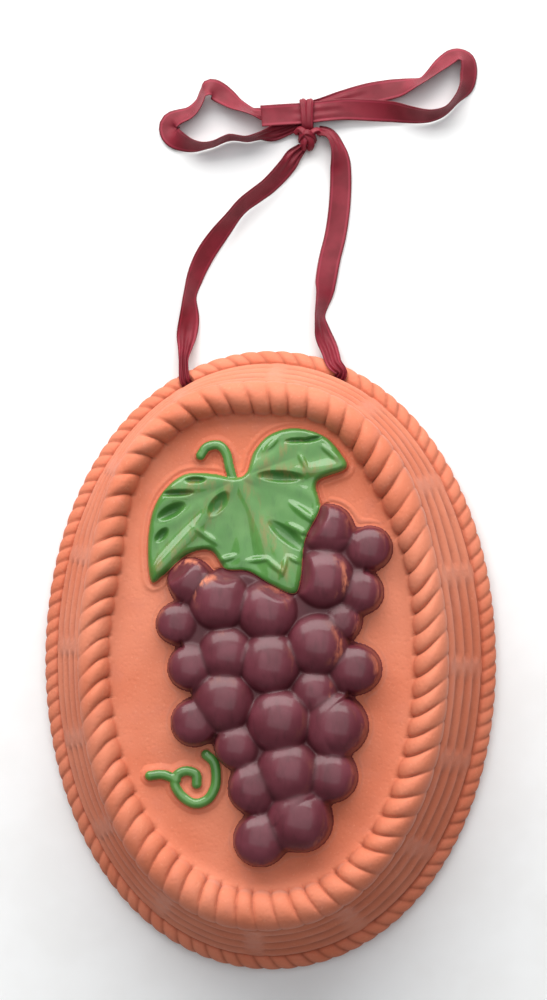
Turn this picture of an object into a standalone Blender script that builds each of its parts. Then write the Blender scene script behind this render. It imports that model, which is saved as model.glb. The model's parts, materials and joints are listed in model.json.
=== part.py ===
"""Decorative kitchen mold: a hollow terracotta wall plaque, cast as an oval basket that frames a bunch
of grapes. It lies on its open back, top end towards +Y and picture side up, with its ribbon and bow laid
out on the same surface. Metres, +Z up, origin at the middle of the oval foot."""

import bisect
import math

import bmesh
import bpy
from mathutils import Vector
from mathutils.geometry import delaunay_2d_cdt

MM = 0.001

# Driving dimensions of the plan: an oval panel with bands of even width round it
PANEL_HALF_WIDTH = 38.8 * MM
PANEL_HALF_LENGTH = 62.6 * MM
OVAL_FULLNESS = 2.05
TOP_ROPE_WIDTH = 12.0 * MM
WALL_RUN = 10.0 * MM
FOOT_ROPE_RADIUS = 3.3 * MM
FOOT_ROPE_INSET = 1.1 * MM
TOP_END = PANEL_HALF_LENGTH + TOP_ROPE_WIDTH + WALL_RUN + FOOT_ROPE_INSET + FOOT_ROPE_RADIUS

# Driving dimensions of the height
PANEL_HEIGHT = 31.0 * MM
PANEL_DOME = 1.2 * MM
TOP_ROPE_RISE = 6.0 * MM
CLAY_THICKNESS = 5.0 * MM
CAVITY_FILLET = 4.0 * MM

# Twist of the two ropes. The lean is how far a strand runs along the rope while it crosses it
TOP_ROPE_STRANDS = 60
TOP_ROPE_GROOVE = 1.3 * MM
TOP_ROPE_LEAN = 7.0 * MM
TOP_ROPE_SWEEP = 1.4
FOOT_ROPE_STRANDS = 98
FOOT_ROPE_GROOVE = 0.55 * MM
FOOT_ROPE_LEAN = 4.4 * MM

# The foot rope's section starts at the seam with the side and ends where it is cut off flat
FOOT_ROPE_SEAM = math.radians(100)
FOOT_ROPE_UNDERCUT = math.radians(-70)
SEAM_DROP = 0.11 * MM

# Basket weave on the sloping side
WEAVE_ROWS = 4
WEAVE_STAKES = 16
WEAVE_RELIEF = 1.6 * MM
STAKE_WIDTH = 7.0 * MM
STAKE_RELIEF = 1.1 * MM

# Satin ribbon, and the width it is gathered to where it passes through the clay
RIBBON_WIDTH = 6.35 * MM
RIBBON_THICKNESS = 0.3 * MM
GATHERED_WIDTH = 3.2 * MM

# Holes for the ribbon, in the groove over the foot rope. The reach is measured along the side
# from the middle of the top end
LEFT_HOLE_REACH = 19.3 * MM
RIGHT_HOLE_REACH = 16.9 * MM
HOLE_RADIUS = GATHERED_WIDTH / 2 + 0.6 * MM
HOLE_OUT = 0.8 * MM
HOLE_LIFT = 0.2 * MM
HOLE_RISE = math.radians(25)
HOLE_CUT = 3 * CLAY_THICKNESS

# Relief on the panel
GRAPE_STAND = 4.2 * MM
GRAPE_FLATTENING = 0.72
GRAPE_BED = 5.2 * MM
LEAF_RIM = 2.6 * MM
LEAF_RIB = 4.4 * MM
LEAF_RIB_SPREAD = 5.0 * MM
LEAF_WEB = 3.0 * MM
LEAF_BEVEL = 1.6 * MM
STEM_RADIUS = 2.0 * MM
TENDRIL_RADIUS = 1.5 * MM
STALK_SINK = 0.35

# The relief is drawn from the panel's middle, across in hundredths of the panel's half width and
# along in hundredths of its half length. Each grape: across, along and its radius, as the width is.
# The outer ones come first, clockwise
GRAPES = (
    (47.9, 55.9, 16.2),
    (77.3, 47.3, 14.4),
    (71.6, 27.8, 13.7),
    (58.5, 14.7, 11.3),
    (67.3, -5.8, 16.2),
    (54.1, -30.5, 19.6),
    (49.7, -52.6, 16.5),
    (27.8, -71.9, 20.4),
    (-1.5, -80.2, 17.5),
    (-6.7, -57.8, 16.2),
    (-18.6, -39.8, 13.9),
    (-47.9, -29.1, 15.7),
    (-51.3, -5.0, 14.7),
    (-61.1, 14.5, 13.4),
    (-51.3, 33.4, 14.9),
    (44.6, 33.9, 17.5),
    (-29.4, 24.6, 17.8),
    (4.4, 19.8, 17.5),
    (40.2, 5.0, 17.8),
    (-25.0, 1.1, 16.0),
    (6.4, -3.0, 17.8),
    (37.9, -15.8, 13.4),
    (-26.3, -19.8, 17.5),
    (12.9, -28.4, 18.6),
    (19.3, -50.5, 18.6),
)
OUTER_GRAPES = 15

# Edge of the vine leaf, clockwise from the stalk
LEAF_EDGE = (
    (-11.3, 80.8),
    (-5.7, 90.4),
    (6.2, 98.1),
    (24.2, 100.8),
    (43.8, 97.4),
    (56.2, 89.8),
    (60.3, 82.4),
    (39.7, 76.4),
    (42.0, 64.9),
    (31.4, 50.5),
    (28.4, 33.5),
    (23.2, 27.0),
    (6.7, 31.3),
    (-9.3, 37.1),
    (-25.8, 38.3),
    (-36.6, 46.3),
    (-53.1, 44.7),
    (-68.6, 36.4),
    (-78.9, 32.6),
    (-82.0, 46.3),
    (-79.4, 62.0),
    (-71.1, 72.8),
    (-55.7, 80.5),
    (-35.1, 80.8),
    (-21.1, 78.9),
)

# The leaf's ribs run from the stalk to these places
LEAF_STALK = (-16.5, 78.3)
LEAF_TIPS = ((50.5, 84.0), (23.7, 93.6), (22.2, 31.9), (-73.2, 38.3), (-62.9, 74.1))

# Middle lines of the stem and of the tendril
STEM_LINE = ((-43.8, 88.8), (-39.2, 92.5), (-30.9, 93.3), (-25.3, 89.5), (-22.9, 83.1), (-19.6, 76.0))
TENDRIL_LINE = (
    (-39.7, -43.1),
    (-34.3, -46.3),
    (-32.5, -51.8),
    (-33.5, -57.5),
    (-38.7, -62.6),
    (-47.7, -64.4),
    (-56.7, -61.3),
    (-61.9, -56.2),
    (-60.3, -52.1),
    (-53.6, -50.2),
    (-46.9, -51.8),
    (-46.4, -55.9),
)
TENDRIL_BRANCH = ((-60.8, -54.0), (-70.6, -51.9), (-79.9, -52.4))

# Ribbon routes. Each point: x, distance beyond the plaque's top end and lift of the ribbon off the
# table in mm, its width as a share of the full width, and its roll in degrees
HANGING_LEFT = (
    (9.9, 60.4, 1.2, 0.47, 30),
    (7.5, 58.1, 0.8, 0.75, 30),
    (5.7, 55.3, 0.5, 0.96, 46),
    (3.1, 52.1, 0.4, 1.0, 50),
    (-0.2, 48.8, 0.4, 1.0, 54),
    (-3.7, 46.2, 0.4, 1.0, 56),
    (-7.5, 43.2, 0.4, 1.0, 60),
    (-10.6, 39.7, 0.4, 1.0, 60),
    (-14.8, 34.5, 0.4, 1.0, 45),
    (-18.8, 28.7, 0.4, 1.0, 40),
    (-21.5, 22.7, 0.4, 1.0, 48),
    (-23.2, 16.5, 0.4, 1.0, 60),
    (-23.5, 10.1, 0.5, 1.0, 30),
    (-24.2, 4.9, 1.4, 0.94, 8),
    (-24.5, 1.1, 3.2, 0.68, 0),
    (-24.7, -3.0, 5.4, 0.45, 0),
)
HANGING_RIGHT = (
    (19.1, -4.3, 5.8, 0.74, -14),
    (17.7, 0.1, 2.6, 0.82, -10),
    (15.8, 4.9, 0.6, 0.95, -38),
    (14.9, 10.3, 0.4, 1.0, -66),
    (16.2, 16.6, 0.4, 1.0, -44),
    (16.6, 20.4, 0.4, 1.0, -20),
    (17.7, 27.0, 0.3, 1.0, -6),
    (19.5, 34.5, 0.3, 1.0, 0),
    (20.6, 41.8, 0.3, 1.0, -4),
    (21.1, 48.9, 0.3, 1.0, -10),
    (21.1, 53.5, 0.3, 1.0, -18),
    (21.0, 56.6, 0.4, 1.0, -32),
    (20.4, 59.8, 0.4, 0.98, -48),
    (19.0, 63.0, 0.6, 0.86, -52),
    (17.2, 64.6, 0.8, 0.76, -46),
    (14.6, 65.2, 1.2, 0.6, -36),
)
HOLLOW_CROSSING = (
    (-16.0, -22.6, 1.6, 0.57, 60),
    (-8.6, -26.2, 0.6, 0.79, 80),
    (0.0, -27.4, 0.4, 0.88, 86),
    (8.0, -26.0, 0.6, 0.79, 80),
    (14.2, -21.8, 1.6, 0.57, 60),
)
BOW_ROUTE = (
    (-2.0, 69.2, 4.8, 1.0, 0),
    (2.4, 69.6, 4.1, 1.0, 0),
    (6.6, 70.0, 3.3, 1.0, 0),
    (11.4, 70.3, 3.1, 0.98, 0),
    (16.4, 70.9, 2.9, 0.98, 0),
    (22.5, 71.4, 2.1, 1.0, -6),
    (29.1, 71.1, 1.4, 1.0, -16),
    (36.4, 70.4, 0.8, 1.0, -34),
    (40.5, 69.6, 0.5, 1.0, -50),
    (44.1, 69.0, 0.4, 1.0, -61),
    (47.4, 68.9, 0.4, 1.0, -70),
    (50.8, 69.8, 0.4, 1.0, -79),
    (53.1, 71.3, 0.4, 1.0, -83),
    (55.8, 74.4, 0.4, 1.0, -76),
    (58.0, 77.8, 0.4, 1.0, -50),
    (58.7, 80.9, 0.4, 1.0, -41),
    (58.9, 83.4, 0.4, 1.0, -43),
    (58.3, 85.8, 0.4, 1.0, -45),
    (56.3, 87.0, 0.5, 1.0, -46),
    (53.9, 86.5, 0.6, 1.0, -38),
    (50.9, 84.2, 0.6, 1.0, -42),
    (48.3, 81.7, 0.5, 1.0, -55),
    (45.8, 79.7, 0.4, 1.0, -62),
    (43.8, 78.9, 0.4, 1.0, -56),
    (41.6, 78.3, 0.4, 1.0, -41),
    (38.7, 77.7, 0.4, 1.0, -22),
    (35.0, 77.3, 0.4, 1.0, -8),
    (29.1, 76.4, 0.4, 1.0, 0),
    (21.7, 74.4, 0.7, 0.96, 0),
    (14.8, 72.3, 1.9, 0.79, 0),
    (8.4, 71.0, 1.9, 0.79, 0),
    (4.2, 70.2, 1.7, 0.82, -10),
    (0.6, 69.9, 1.0, 0.86, -28),
    (-2.2, 70.3, 0.6, 0.9, -42),
    (-5.2, 71.2, 0.5, 1.0, -60),
    (-9.7, 73.5, 0.5, 1.0, -43),
    (-12.5, 75.7, 0.9, 1.0, -23),
    (-14.9, 77.4, 1.8, 1.0, -10),
    (-16.9, 78.2, 2.4, 1.0, -16),
    (-18.4, 77.7, 1.8, 1.0, -40),
    (-19.4, 76.6, 0.6, 1.0, -60),
    (-20.0, 74.9, 0.4, 1.0, -60),
    (-21.3, 72.8, 0.4, 1.0, -52),
    (-23.4, 71.0, 0.4, 1.0, -43),
    (-26.6, 70.0, 0.4, 1.0, -32),
    (-28.9, 68.9, 0.4, 1.0, -14),
    (-29.5, 67.0, 0.4, 1.0, -6),
    (-28.5, 64.6, 0.4, 1.0, -20),
    (-26.0, 62.8, 0.4, 1.0, -42),
    (-22.2, 61.3, 0.4, 1.0, -68),
    (-18.9, 61.1, 0.4, 1.0, -84),
    (-15.9, 61.7, 0.4, 1.0, -88),
    (-13.5, 62.8, 0.4, 1.0, -88),
    (-11.3, 63.5, 0.4, 1.0, -86),
    (-9.1, 63.3, 0.4, 1.0, -88),
    (-6.5, 62.8, 0.4, 1.0, -88),
    (-3.9, 63.3, 0.4, 1.0, -86),
    (-1.5, 64.1, 0.4, 0.95, -78),
    (1.5, 65.0, 0.4, 0.84, -40),
    (4.8, 66.2, 0.7, 0.7, -14),
    (7.4, 67.2, 1.1, 0.66, 0),
    (9.6, 67.9, 1.1, 0.66, 0),
    (12.8, 68.2, 1.1, 0.66, 0),
)

# Stations of the ribbon along the axis of a hole, outwards from the hole's mouth
HOLE_STATIONS = (1.4 * MM, -1.0 * MM, -4.6 * MM, -8.4 * MM)

# The turn of ribbon round the waist of the bow, and the small hard knot under it
WAIST_X = 11.4 * MM
WAIST_BEYOND = 70.0 * MM
WAIST_HALF_LENGTH = RIBBON_WIDTH / 2 + 2.0 * MM
WAIST_TOP = 4.3 * MM
WAIST_BOTTOM = 0.2 * MM
WAIST_SQUARENESS = 0.6
WRAP_WIDTH = 5.2 * MM
KNOT_BELOW = 1.2 * MM
KNOT_RADII = (2.7 * MM, 2.3 * MM, 1.7 * MM)

# Facets
OVAL_STEPS = 1440
PLAIN_COLUMNS = 60
PANEL_RINGS = 2
TOP_ROPE_COLUMNS = 3
TOP_ROPE_SEGMENTS = 5
FOOT_ROPE_COLUMNS = 2
FOOT_ROPE_SEGMENTS = 3
FILLET_STEPS = 2
GRAPE_SIDES = 10
GRAPE_PROFILE = ((0.0, 1.04), (0.5, 0.9), (0.86, 0.53))
STEM_SIDES = 8
TENDRIL_SIDES = 6
LEAF_STEP = 4.0 * MM
RIB_SHARES = (0.3, 0.6, 0.85)
HOLE_SIDES = 12
WAIST_SIDES = 14
RIBBON_STEP = 5.0 * MM
WELD = 0.01 * MM
SMOOTH_ANGLE = math.radians(35)


def clear_scene():
    for thing in list(bpy.data.objects):
        bpy.data.objects.remove(thing, do_unlink=True)


def make_material(name, color, roughness):
    material = bpy.data.materials.new(name)
    material.use_nodes = True
    shader = material.node_tree.nodes["Principled BSDF"]
    shader.inputs["Base Color"].default_value = (*color, 1.0)
    shader.inputs["Roughness"].default_value = roughness
    shader.inputs["Metallic"].default_value = 0.0
    material.diffuse_color = (*color, 1.0)
    return material


def make_object(name, bm, material):
    bmesh.ops.recalc_face_normals(bm, faces=bm.faces)
    mesh = bpy.data.meshes.new(name)
    bm.to_mesh(mesh)
    bm.free()
    mesh.materials.append(material)
    mesh.shade_smooth()
    mesh.set_sharp_from_angle(angle=SMOOTH_ANGLE)
    thing = bpy.data.objects.new(name, mesh)
    bpy.context.scene.collection.objects.link(thing)
    return thing


def oval_point(angle, out):
    """The place at this angle of the panel's edge, moved out from it along its own normal."""
    across = math.cos(angle)
    along = math.sin(angle)
    power = 2 / OVAL_FULLNESS
    x = PANEL_HALF_WIDTH * math.copysign(abs(across) ** power, across)
    y = PANEL_HALF_LENGTH * math.copysign(abs(along) ** power, along)
    slope_x = math.copysign(abs(across) ** (2 - power), across) / PANEL_HALF_WIDTH
    slope_y = math.copysign(abs(along) ** (2 - power), along) / PANEL_HALF_LENGTH
    length = math.hypot(slope_x, slope_y)
    return x + out * slope_x / length, y + out * slope_y / length


def measure_oval():
    """How far round each angle is, as a share of one turn, at the foot of the top rope."""
    places = []
    for i in range(OVAL_STEPS + 1):
        places.append(oval_point(2 * math.pi * i / OVAL_STEPS, TOP_ROPE_WIDTH))
    run = [0.0]
    for here, there in zip(places, places[1:]):
        run.append(run[-1] + math.dist(here, there))
    return run[-1], [distance / run[-1] for distance in run]


OVAL_LENGTH, OVAL_SHARES = measure_oval()


def oval_angle(turn):
    """The oval's angle after this share of a turn, so that even turns give even spacing."""
    turn = turn % 1.0
    step = min(bisect.bisect_right(OVAL_SHARES, turn), OVAL_STEPS) - 1
    part = (turn - OVAL_SHARES[step]) / (OVAL_SHARES[step + 1] - OVAL_SHARES[step])
    return 2 * math.pi * (step + part) / OVAL_STEPS


def add_ring(bm, count, shape, shift=0.0):
    """A closed ring of vertices. shape gives each one's distance out and height from its number."""
    ring = []
    for i in range(count):
        turn = (i + shift) / count
        out, height = shape(i)
        x, y = oval_point(oval_angle(turn), out)
        ring.append((turn, bm.verts.new((x, y, height))))
    return ring


def join_loops(bm, first, second):
    """Faces between two closed loops of vertices with the same count."""
    for k in range(len(first)):
        n = (k + 1) % len(first)
        bm.faces.new((first[k], first[n], second[n], second[k]))


def join_alike(bm, first, second):
    """Faces between two rings with the same count, vertex by vertex."""
    join_loops(bm, [vert for _, vert in first], [vert for _, vert in second])


def join_unlike(bm, first, second):
    """Triangles between two rings with different counts, each next to its nearest in turn."""
    a = sorted(((turn % 1.0, vert) for turn, vert in first), key=lambda pair: pair[0])
    b = sorted(((turn % 1.0, vert) for turn, vert in second), key=lambda pair: pair[0])
    a.append((a[0][0] + 1.0, a[0][1]))
    b.append((b[0][0] + 1.0, b[0][1]))
    i = 0
    j = 0
    while i < len(a) - 1 or j < len(b) - 1:
        if j == len(b) - 1 or (i < len(a) - 1 and a[i + 1][0] <= b[j + 1][0]):
            bm.faces.new((a[i][1], a[i + 1][1], b[j][1]))
            i += 1
        else:
            bm.faces.new((a[i][1], b[j + 1][1], b[j][1]))
            j += 1


def add_panel(bm, edge, height):
    """The middle of the oval inside a ring of plain columns: smaller rings that rise to one point."""
    outer = edge
    for step in range(PANEL_RINGS):
        share = 1 - (step + 1) / (PANEL_RINGS + 1)
        ring = []
        for i in range(PLAIN_COLUMNS):
            turn = i / PLAIN_COLUMNS
            x, y = oval_point(oval_angle(turn), 0.0)
            z = height + PANEL_DOME * (1 - share * share)
            ring.append((turn, bm.verts.new((x * share, y * share, z))))
        join_alike(bm, outer, ring)
        outer = ring
    top = bm.verts.new((0.0, 0.0, height + PANEL_DOME))
    for i in range(PLAIN_COLUMNS):
        bm.faces.new((outer[i][1], outer[(i + 1) % PLAIN_COLUMNS][1], top))


def add_top_rope(bm):
    """The fat rope: half round, each strand a plump lobe between two grooves that lean."""
    half = TOP_ROPE_WIDTH / 2
    pitch = OVAL_LENGTH / TOP_ROPE_STRANDS
    rings = []
    for row in range(TOP_ROPE_SEGMENTS + 1):
        swing = math.pi * (1 - row / TOP_ROPE_SEGMENTS)
        across = 0.5 + 0.5 * math.cos(swing)
        lean = TOP_ROPE_LEAN / pitch * across**TOP_ROPE_SWEEP

        def shape(i, swing=swing):
            groove = 0.0 if i % TOP_ROPE_COLUMNS else TOP_ROPE_GROOVE
            out = half + (half - groove) * math.cos(swing)
            rise = (TOP_ROPE_RISE - groove) * math.sin(swing)
            return out, PANEL_HEIGHT + rise

        count = TOP_ROPE_STRANDS * TOP_ROPE_COLUMNS
        rings.append(add_ring(bm, count, shape, lean * TOP_ROPE_COLUMNS))
    for inner, outer in zip(rings, rings[1:]):
        join_alike(bm, inner, outer)
    return rings[0], rings[-1]


def wall_line():
    """The side in section: its two ends as distance out and height, and its outward direction."""
    top = Vector((TOP_ROPE_WIDTH - TOP_ROPE_GROOVE / 2, PANEL_HEIGHT - TOP_ROPE_GROOVE))
    seam_height = FOOT_ROPE_RADIUS * (math.sin(FOOT_ROPE_SEAM) - math.sin(FOOT_ROPE_UNDERCUT))
    foot = Vector((TOP_ROPE_WIDTH + WALL_RUN, seam_height - FOOT_ROPE_GROOVE - SEAM_DROP))
    down = (foot - top).normalized()
    return top, foot, Vector((-down.y, down.x))


def add_wall(bm):
    """The basket weave: rows of withies that swell between the stakes and pass in behind them."""
    half_stake = STAKE_WIDTH / 2 * WEAVE_STAKES / OVAL_LENGTH
    spread = (0.0, half_stake, 0.5, 1.0 - half_stake)
    top, foot, outward = wall_line()
    rings = []
    for row in range(2 * WEAVE_ROWS + 1):
        place = top.lerp(foot, row / (2 * WEAVE_ROWS))
        withy = place + outward * (WEAVE_RELIEF if row % 2 else 0.0)
        stake = place + outward * (STAKE_RELIEF if 0 < row < 2 * WEAVE_ROWS else 0.0)
        ring = []
        for i in range(WEAVE_STAKES * len(spread)):
            turn = (i // len(spread) + spread[i % len(spread)]) / WEAVE_STAKES
            out, height = withy if i % len(spread) else stake
            x, y = oval_point(oval_angle(turn), out)
            ring.append((turn, bm.verts.new((x, y, height))))
        rings.append(ring)
    for upper, lower in zip(rings, rings[1:]):
        join_alike(bm, upper, lower)
    return rings[0], rings[-1]


def add_foot_rope(bm):
    """The thin rope round the foot, cut off flat where it meets the table."""
    middle_out = TOP_ROPE_WIDTH + WALL_RUN + FOOT_ROPE_INSET
    middle_height = -FOOT_ROPE_RADIUS * math.sin(FOOT_ROPE_UNDERCUT)
    pitch = OVAL_LENGTH / FOOT_ROPE_STRANDS
    rings = []
    for row in range(FOOT_ROPE_SEGMENTS + 1):
        share = row / FOOT_ROPE_SEGMENTS
        swing = FOOT_ROPE_SEAM + (FOOT_ROPE_UNDERCUT - FOOT_ROPE_SEAM) * share
        lean = FOOT_ROPE_LEAN / pitch * share

        def shape(i, swing=swing, row=row):
            radius = FOOT_ROPE_RADIUS - (0.0 if i % FOOT_ROPE_COLUMNS else FOOT_ROPE_GROOVE)
            height = middle_height + radius * math.sin(swing)
            if row == FOOT_ROPE_SEGMENTS:
                height = 0.0
            return middle_out + radius * math.cos(swing), height

        count = FOOT_ROPE_STRANDS * FOOT_ROPE_COLUMNS
        rings.append(add_ring(bm, count, shape, lean * FOOT_ROPE_COLUMNS))
    for upper, lower in zip(rings, rings[1:]):
        join_alike(bm, upper, lower)
    return rings[0], rings[-1]


def cavity_line():
    """The hollow in section, from the rim up: a clay's thickness inside the wall and the panel."""
    top, foot, outward = wall_line()
    down = (foot - top).normalized()
    inner_foot = foot - outward * CLAY_THICKNESS
    ceiling = PANEL_HEIGHT - CLAY_THICKNESS
    rim = inner_foot + down * (inner_foot.y / -down.y)
    corner = inner_foot + down * ((inner_foot.y - ceiling) / -down.y)
    shoulder = corner + down * CAVITY_FILLET
    inner = corner + Vector((-CAVITY_FILLET, 0.0))
    places = [rim]
    for step in range(FILLET_STEPS + 1):
        share = step / FILLET_STEPS
        places.append(shoulder.lerp(corner, share).lerp(corner.lerp(inner, share), share))
    return places, ceiling


def add_cavity(bm):
    places, ceiling = cavity_line()
    rings = []
    for place in places:
        rings.append(add_ring(bm, PLAIN_COLUMNS, lambda i, place=place: place))
    for lower, upper in zip(rings, rings[1:]):
        join_alike(bm, lower, upper)
    add_panel(bm, rings[-1], ceiling)
    return rings[0]


def make_basket(material):
    """The casting without its relief: one closed skin from the panel over the ropes into the hollow."""
    bm = bmesh.new()
    rope_inner, rope_outer = add_top_rope(bm)
    edge = add_ring(bm, PLAIN_COLUMNS, lambda i: (-TOP_ROPE_GROOVE, PANEL_HEIGHT))
    join_unlike(bm, edge, rope_inner)
    add_panel(bm, edge, PANEL_HEIGHT)
    wall_top, wall_foot = add_wall(bm)
    join_unlike(bm, rope_outer, wall_top)
    foot_top, foot_sole = add_foot_rope(bm)
    join_unlike(bm, wall_foot, foot_top)
    rim = add_cavity(bm)
    join_unlike(bm, foot_sole, rim)
    return make_object("mold", bm, material)


def on_panel(across, along):
    """A place on the panel from its place in the drawing of the relief."""
    return Vector((across * PANEL_HALF_WIDTH, along * PANEL_HALF_LENGTH)) / 100


def panel_top(x, y):
    """The height of the panel's slightly domed surface at a place on it."""
    share = math.hypot(x / PANEL_HALF_WIDTH, y / PANEL_HALF_LENGTH)
    return PANEL_HEIGHT + PANEL_DOME * (1 - min(share, 1.0) ** 2)


def root_height():
    """Relief reaches down to here, inside the clay, and never through to the hollow."""
    return PANEL_HEIGHT - CLAY_THICKNESS / 2


def make_grape(place, radius, material):
    """One grape: a slightly flattened dome on a straight neck that is rooted in the panel."""
    bm = bmesh.new()
    base = panel_top(*place) + GRAPE_STAND
    heights = [(root_height(), GRAPE_PROFILE[0][1])]
    for lift, share in GRAPE_PROFILE:
        heights.append((base + lift * radius * GRAPE_FLATTENING, share))
    rings = []
    for z, share in heights:
        ring = []
        for k in range(GRAPE_SIDES):
            swing = 2 * math.pi * k / GRAPE_SIDES
            spoke = radius * share * Vector((math.cos(swing), math.sin(swing)))
            ring.append(bm.verts.new((*(place + spoke), z)))
        rings.append(ring)
    for lower, upper in zip(rings, rings[1:]):
        join_loops(bm, lower, upper)
    bm.faces.new(rings[0])
    crown = bm.verts.new((*place, base + radius * GRAPE_FLATTENING))
    for k in range(GRAPE_SIDES):
        bm.faces.new((rings[-1][k], rings[-1][(k + 1) % GRAPE_SIDES], crown))
    return make_object("grape", bm, material)


def make_grape_bed(material):
    """The raised bed that fills the bunch between its grapes, from one outer grape to the next."""
    bm = bmesh.new()
    places = [on_panel(across, along) for across, along, _ in GRAPES[:OUTER_GRAPES]]
    root = [bm.verts.new((*place, root_height())) for place in places]
    top = [bm.verts.new((*place, panel_top(*place) + GRAPE_BED)) for place in places]
    join_loops(bm, root, top)
    bm.faces.new(root)
    bm.faces.new(top)
    bmesh.ops.triangulate(bm, faces=bm.faces)
    return make_object("grape_bed", bm, material)


def curve_point(before, here, there, after, t):
    """A place between here and there on the smooth curve that runs from before to after."""
    return 0.5 * (
        2 * here
        + (there - before) * t
        + (2 * before - 5 * here + 4 * there - after) * t * t
        + (3 * here - before - 3 * there + after) * t * t * t
    )


def smooth_route(points, step, closed=False):
    """Points about a step apart on a smooth curve that passes through every given point."""
    keys = [Vector(point) for point in points]
    if closed:
        keys = keys[-1:] + keys + keys[:2]
    else:
        keys = [2 * keys[0] - keys[1]] + keys + [2 * keys[-1] - keys[-2]]
    found = []
    for before, here, there, after in zip(keys, keys[1:], keys[2:], keys[3:]):
        count = max(1, round(math.dist(here[:3], there[:3]) / step))
        for k in range(count):
            found.append(curve_point(before, here, there, after, k / count))
    if not closed:
        found.append(keys[-2])
    return found


def heading(route, i):
    """The direction of a route of points at its point number i."""
    ahead = Vector(route[min(i + 1, len(route) - 1)][:3])
    behind = Vector(route[max(i - 1, 0)][:3])
    return (ahead - behind).normalized()


def make_stalk(name, line, radius, sides, material):
    """A round stalk laid along a line on the panel, sunk a little into it."""
    places = []
    for point in line:
        place = on_panel(*point)
        places.append((*place, panel_top(*place) + radius * (1 - 2 * STALK_SINK)))
    route = smooth_route(places, 2.2 * radius)
    bm = bmesh.new()
    rings = []
    for i, here in enumerate(route):
        ahead = heading(route, i)
        side = ahead.cross(Vector((0, 0, 1))).normalized()
        up = side.cross(ahead)
        ring = []
        for k in range(sides):
            swing = 2 * math.pi * (k + 0.5) / sides
            ring.append(bm.verts.new(here + radius * (side * math.cos(swing) + up * math.sin(swing))))
        rings.append(ring)
    for first, second in zip(rings, rings[1:]):
        join_loops(bm, first, second)
    bm.faces.new(rings[0])
    bm.faces.new(rings[-1])
    return make_object(name, bm, material)


def distance_to_rib(place, tip):
    start = on_panel(*LEAF_STALK)
    along = on_panel(*tip) - start
    share = max(0.0, min(1.0, (place - start).dot(along) / along.length_squared))
    return (place - start - along * share).length


def leaf_height(place):
    """The leaf's upper side over the panel: high along its ribs and lower between them."""
    nearest = min(distance_to_rib(place, tip) for tip in LEAF_TIPS)
    web = min(nearest / LEAF_RIB_SPREAD, 1.0)
    return panel_top(*place) + LEAF_RIB + (LEAF_WEB - LEAF_RIB) * web


def make_leaf(material):
    """The vine leaf: a plateau with its true outline, a bevelled edge and ribs that fan out."""
    edge = smooth_route([on_panel(*point) for point in LEAF_EDGE], LEAF_STEP, closed=True)
    count = len(edge)
    inset = []
    for i, here in enumerate(edge):
        ahead = (edge[(i + 1) % count] - edge[i - 1]).normalized()
        inset.append(here + LEAF_BEVEL * Vector((ahead.y, -ahead.x)))
    along_ribs = []
    for tip in LEAF_TIPS:
        for share in RIB_SHARES:
            along_ribs.append(on_panel(*LEAF_STALK).lerp(on_panel(*tip), share))
    bound = [list(range(count))]
    places, _, faces, *_ = delaunay_2d_cdt(inset + along_ribs, [], bound, 1, WELD)
    bm = bmesh.new()
    top = [bm.verts.new((*place, leaf_height(place))) for place in places]
    for face in faces:
        bm.faces.new([top[i] for i in face])
    rim = [bm.verts.new((*place, panel_top(*place) + LEAF_RIM)) for place in edge]
    root = [bm.verts.new((*place, root_height())) for place in edge]
    join_loops(bm, top[:count], rim)
    join_loops(bm, rim, root)
    bm.faces.new(root)
    return make_object("leaf", bm, material)


def hole_frame(reach):
    """A ribbon hole: the place of its mouth, in the groove over the foot rope, and its outward axis."""
    out = TOP_ROPE_WIDTH + WALL_RUN + HOLE_OUT
    angle = oval_angle(0.25 - reach / OVAL_LENGTH)
    near = Vector(oval_point(angle, 0.0))
    plan = (Vector(oval_point(angle, out)) - near).normalized()
    mouth = near + plan * out
    height = FOOT_ROPE_RADIUS * (1 - math.sin(FOOT_ROPE_UNDERCUT)) + HOLE_LIFT
    return Vector((*mouth, height)), Vector((*(plan * math.cos(HOLE_RISE)), math.sin(HOLE_RISE)))


def make_hole(name, reach, material):
    mouth, axis = hole_frame(reach)
    bm = bmesh.new()
    bmesh.ops.create_cone(
        bm, cap_ends=True, segments=HOLE_SIDES, radius1=HOLE_RADIUS, radius2=HOLE_RADIUS, depth=HOLE_CUT
    )
    turn = axis.to_track_quat("Z", "Y").to_matrix().to_4x4()
    bmesh.ops.transform(bm, matrix=turn, verts=bm.verts)
    bmesh.ops.translate(bm, vec=mouth, verts=bm.verts)
    return make_object(name, bm, material)


def combine(thing, name, operation, helpers):
    """Adds helper shapes to a piece or cuts them out of it. They stay out of the model themselves."""
    collection = bpy.data.collections.new(name)
    bpy.context.scene.collection.children.link(collection)
    for helper in helpers:
        bpy.context.scene.collection.objects.unlink(helper)
        collection.objects.link(helper)
        helper.hide_render = True
        helper.display_type = "WIRE"
    modifier = thing.modifiers.new(name, "BOOLEAN")
    modifier.operation = operation
    modifier.operand_type = "COLLECTION"
    modifier.collection = collection
    modifier.solver = "EXACT"


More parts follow.
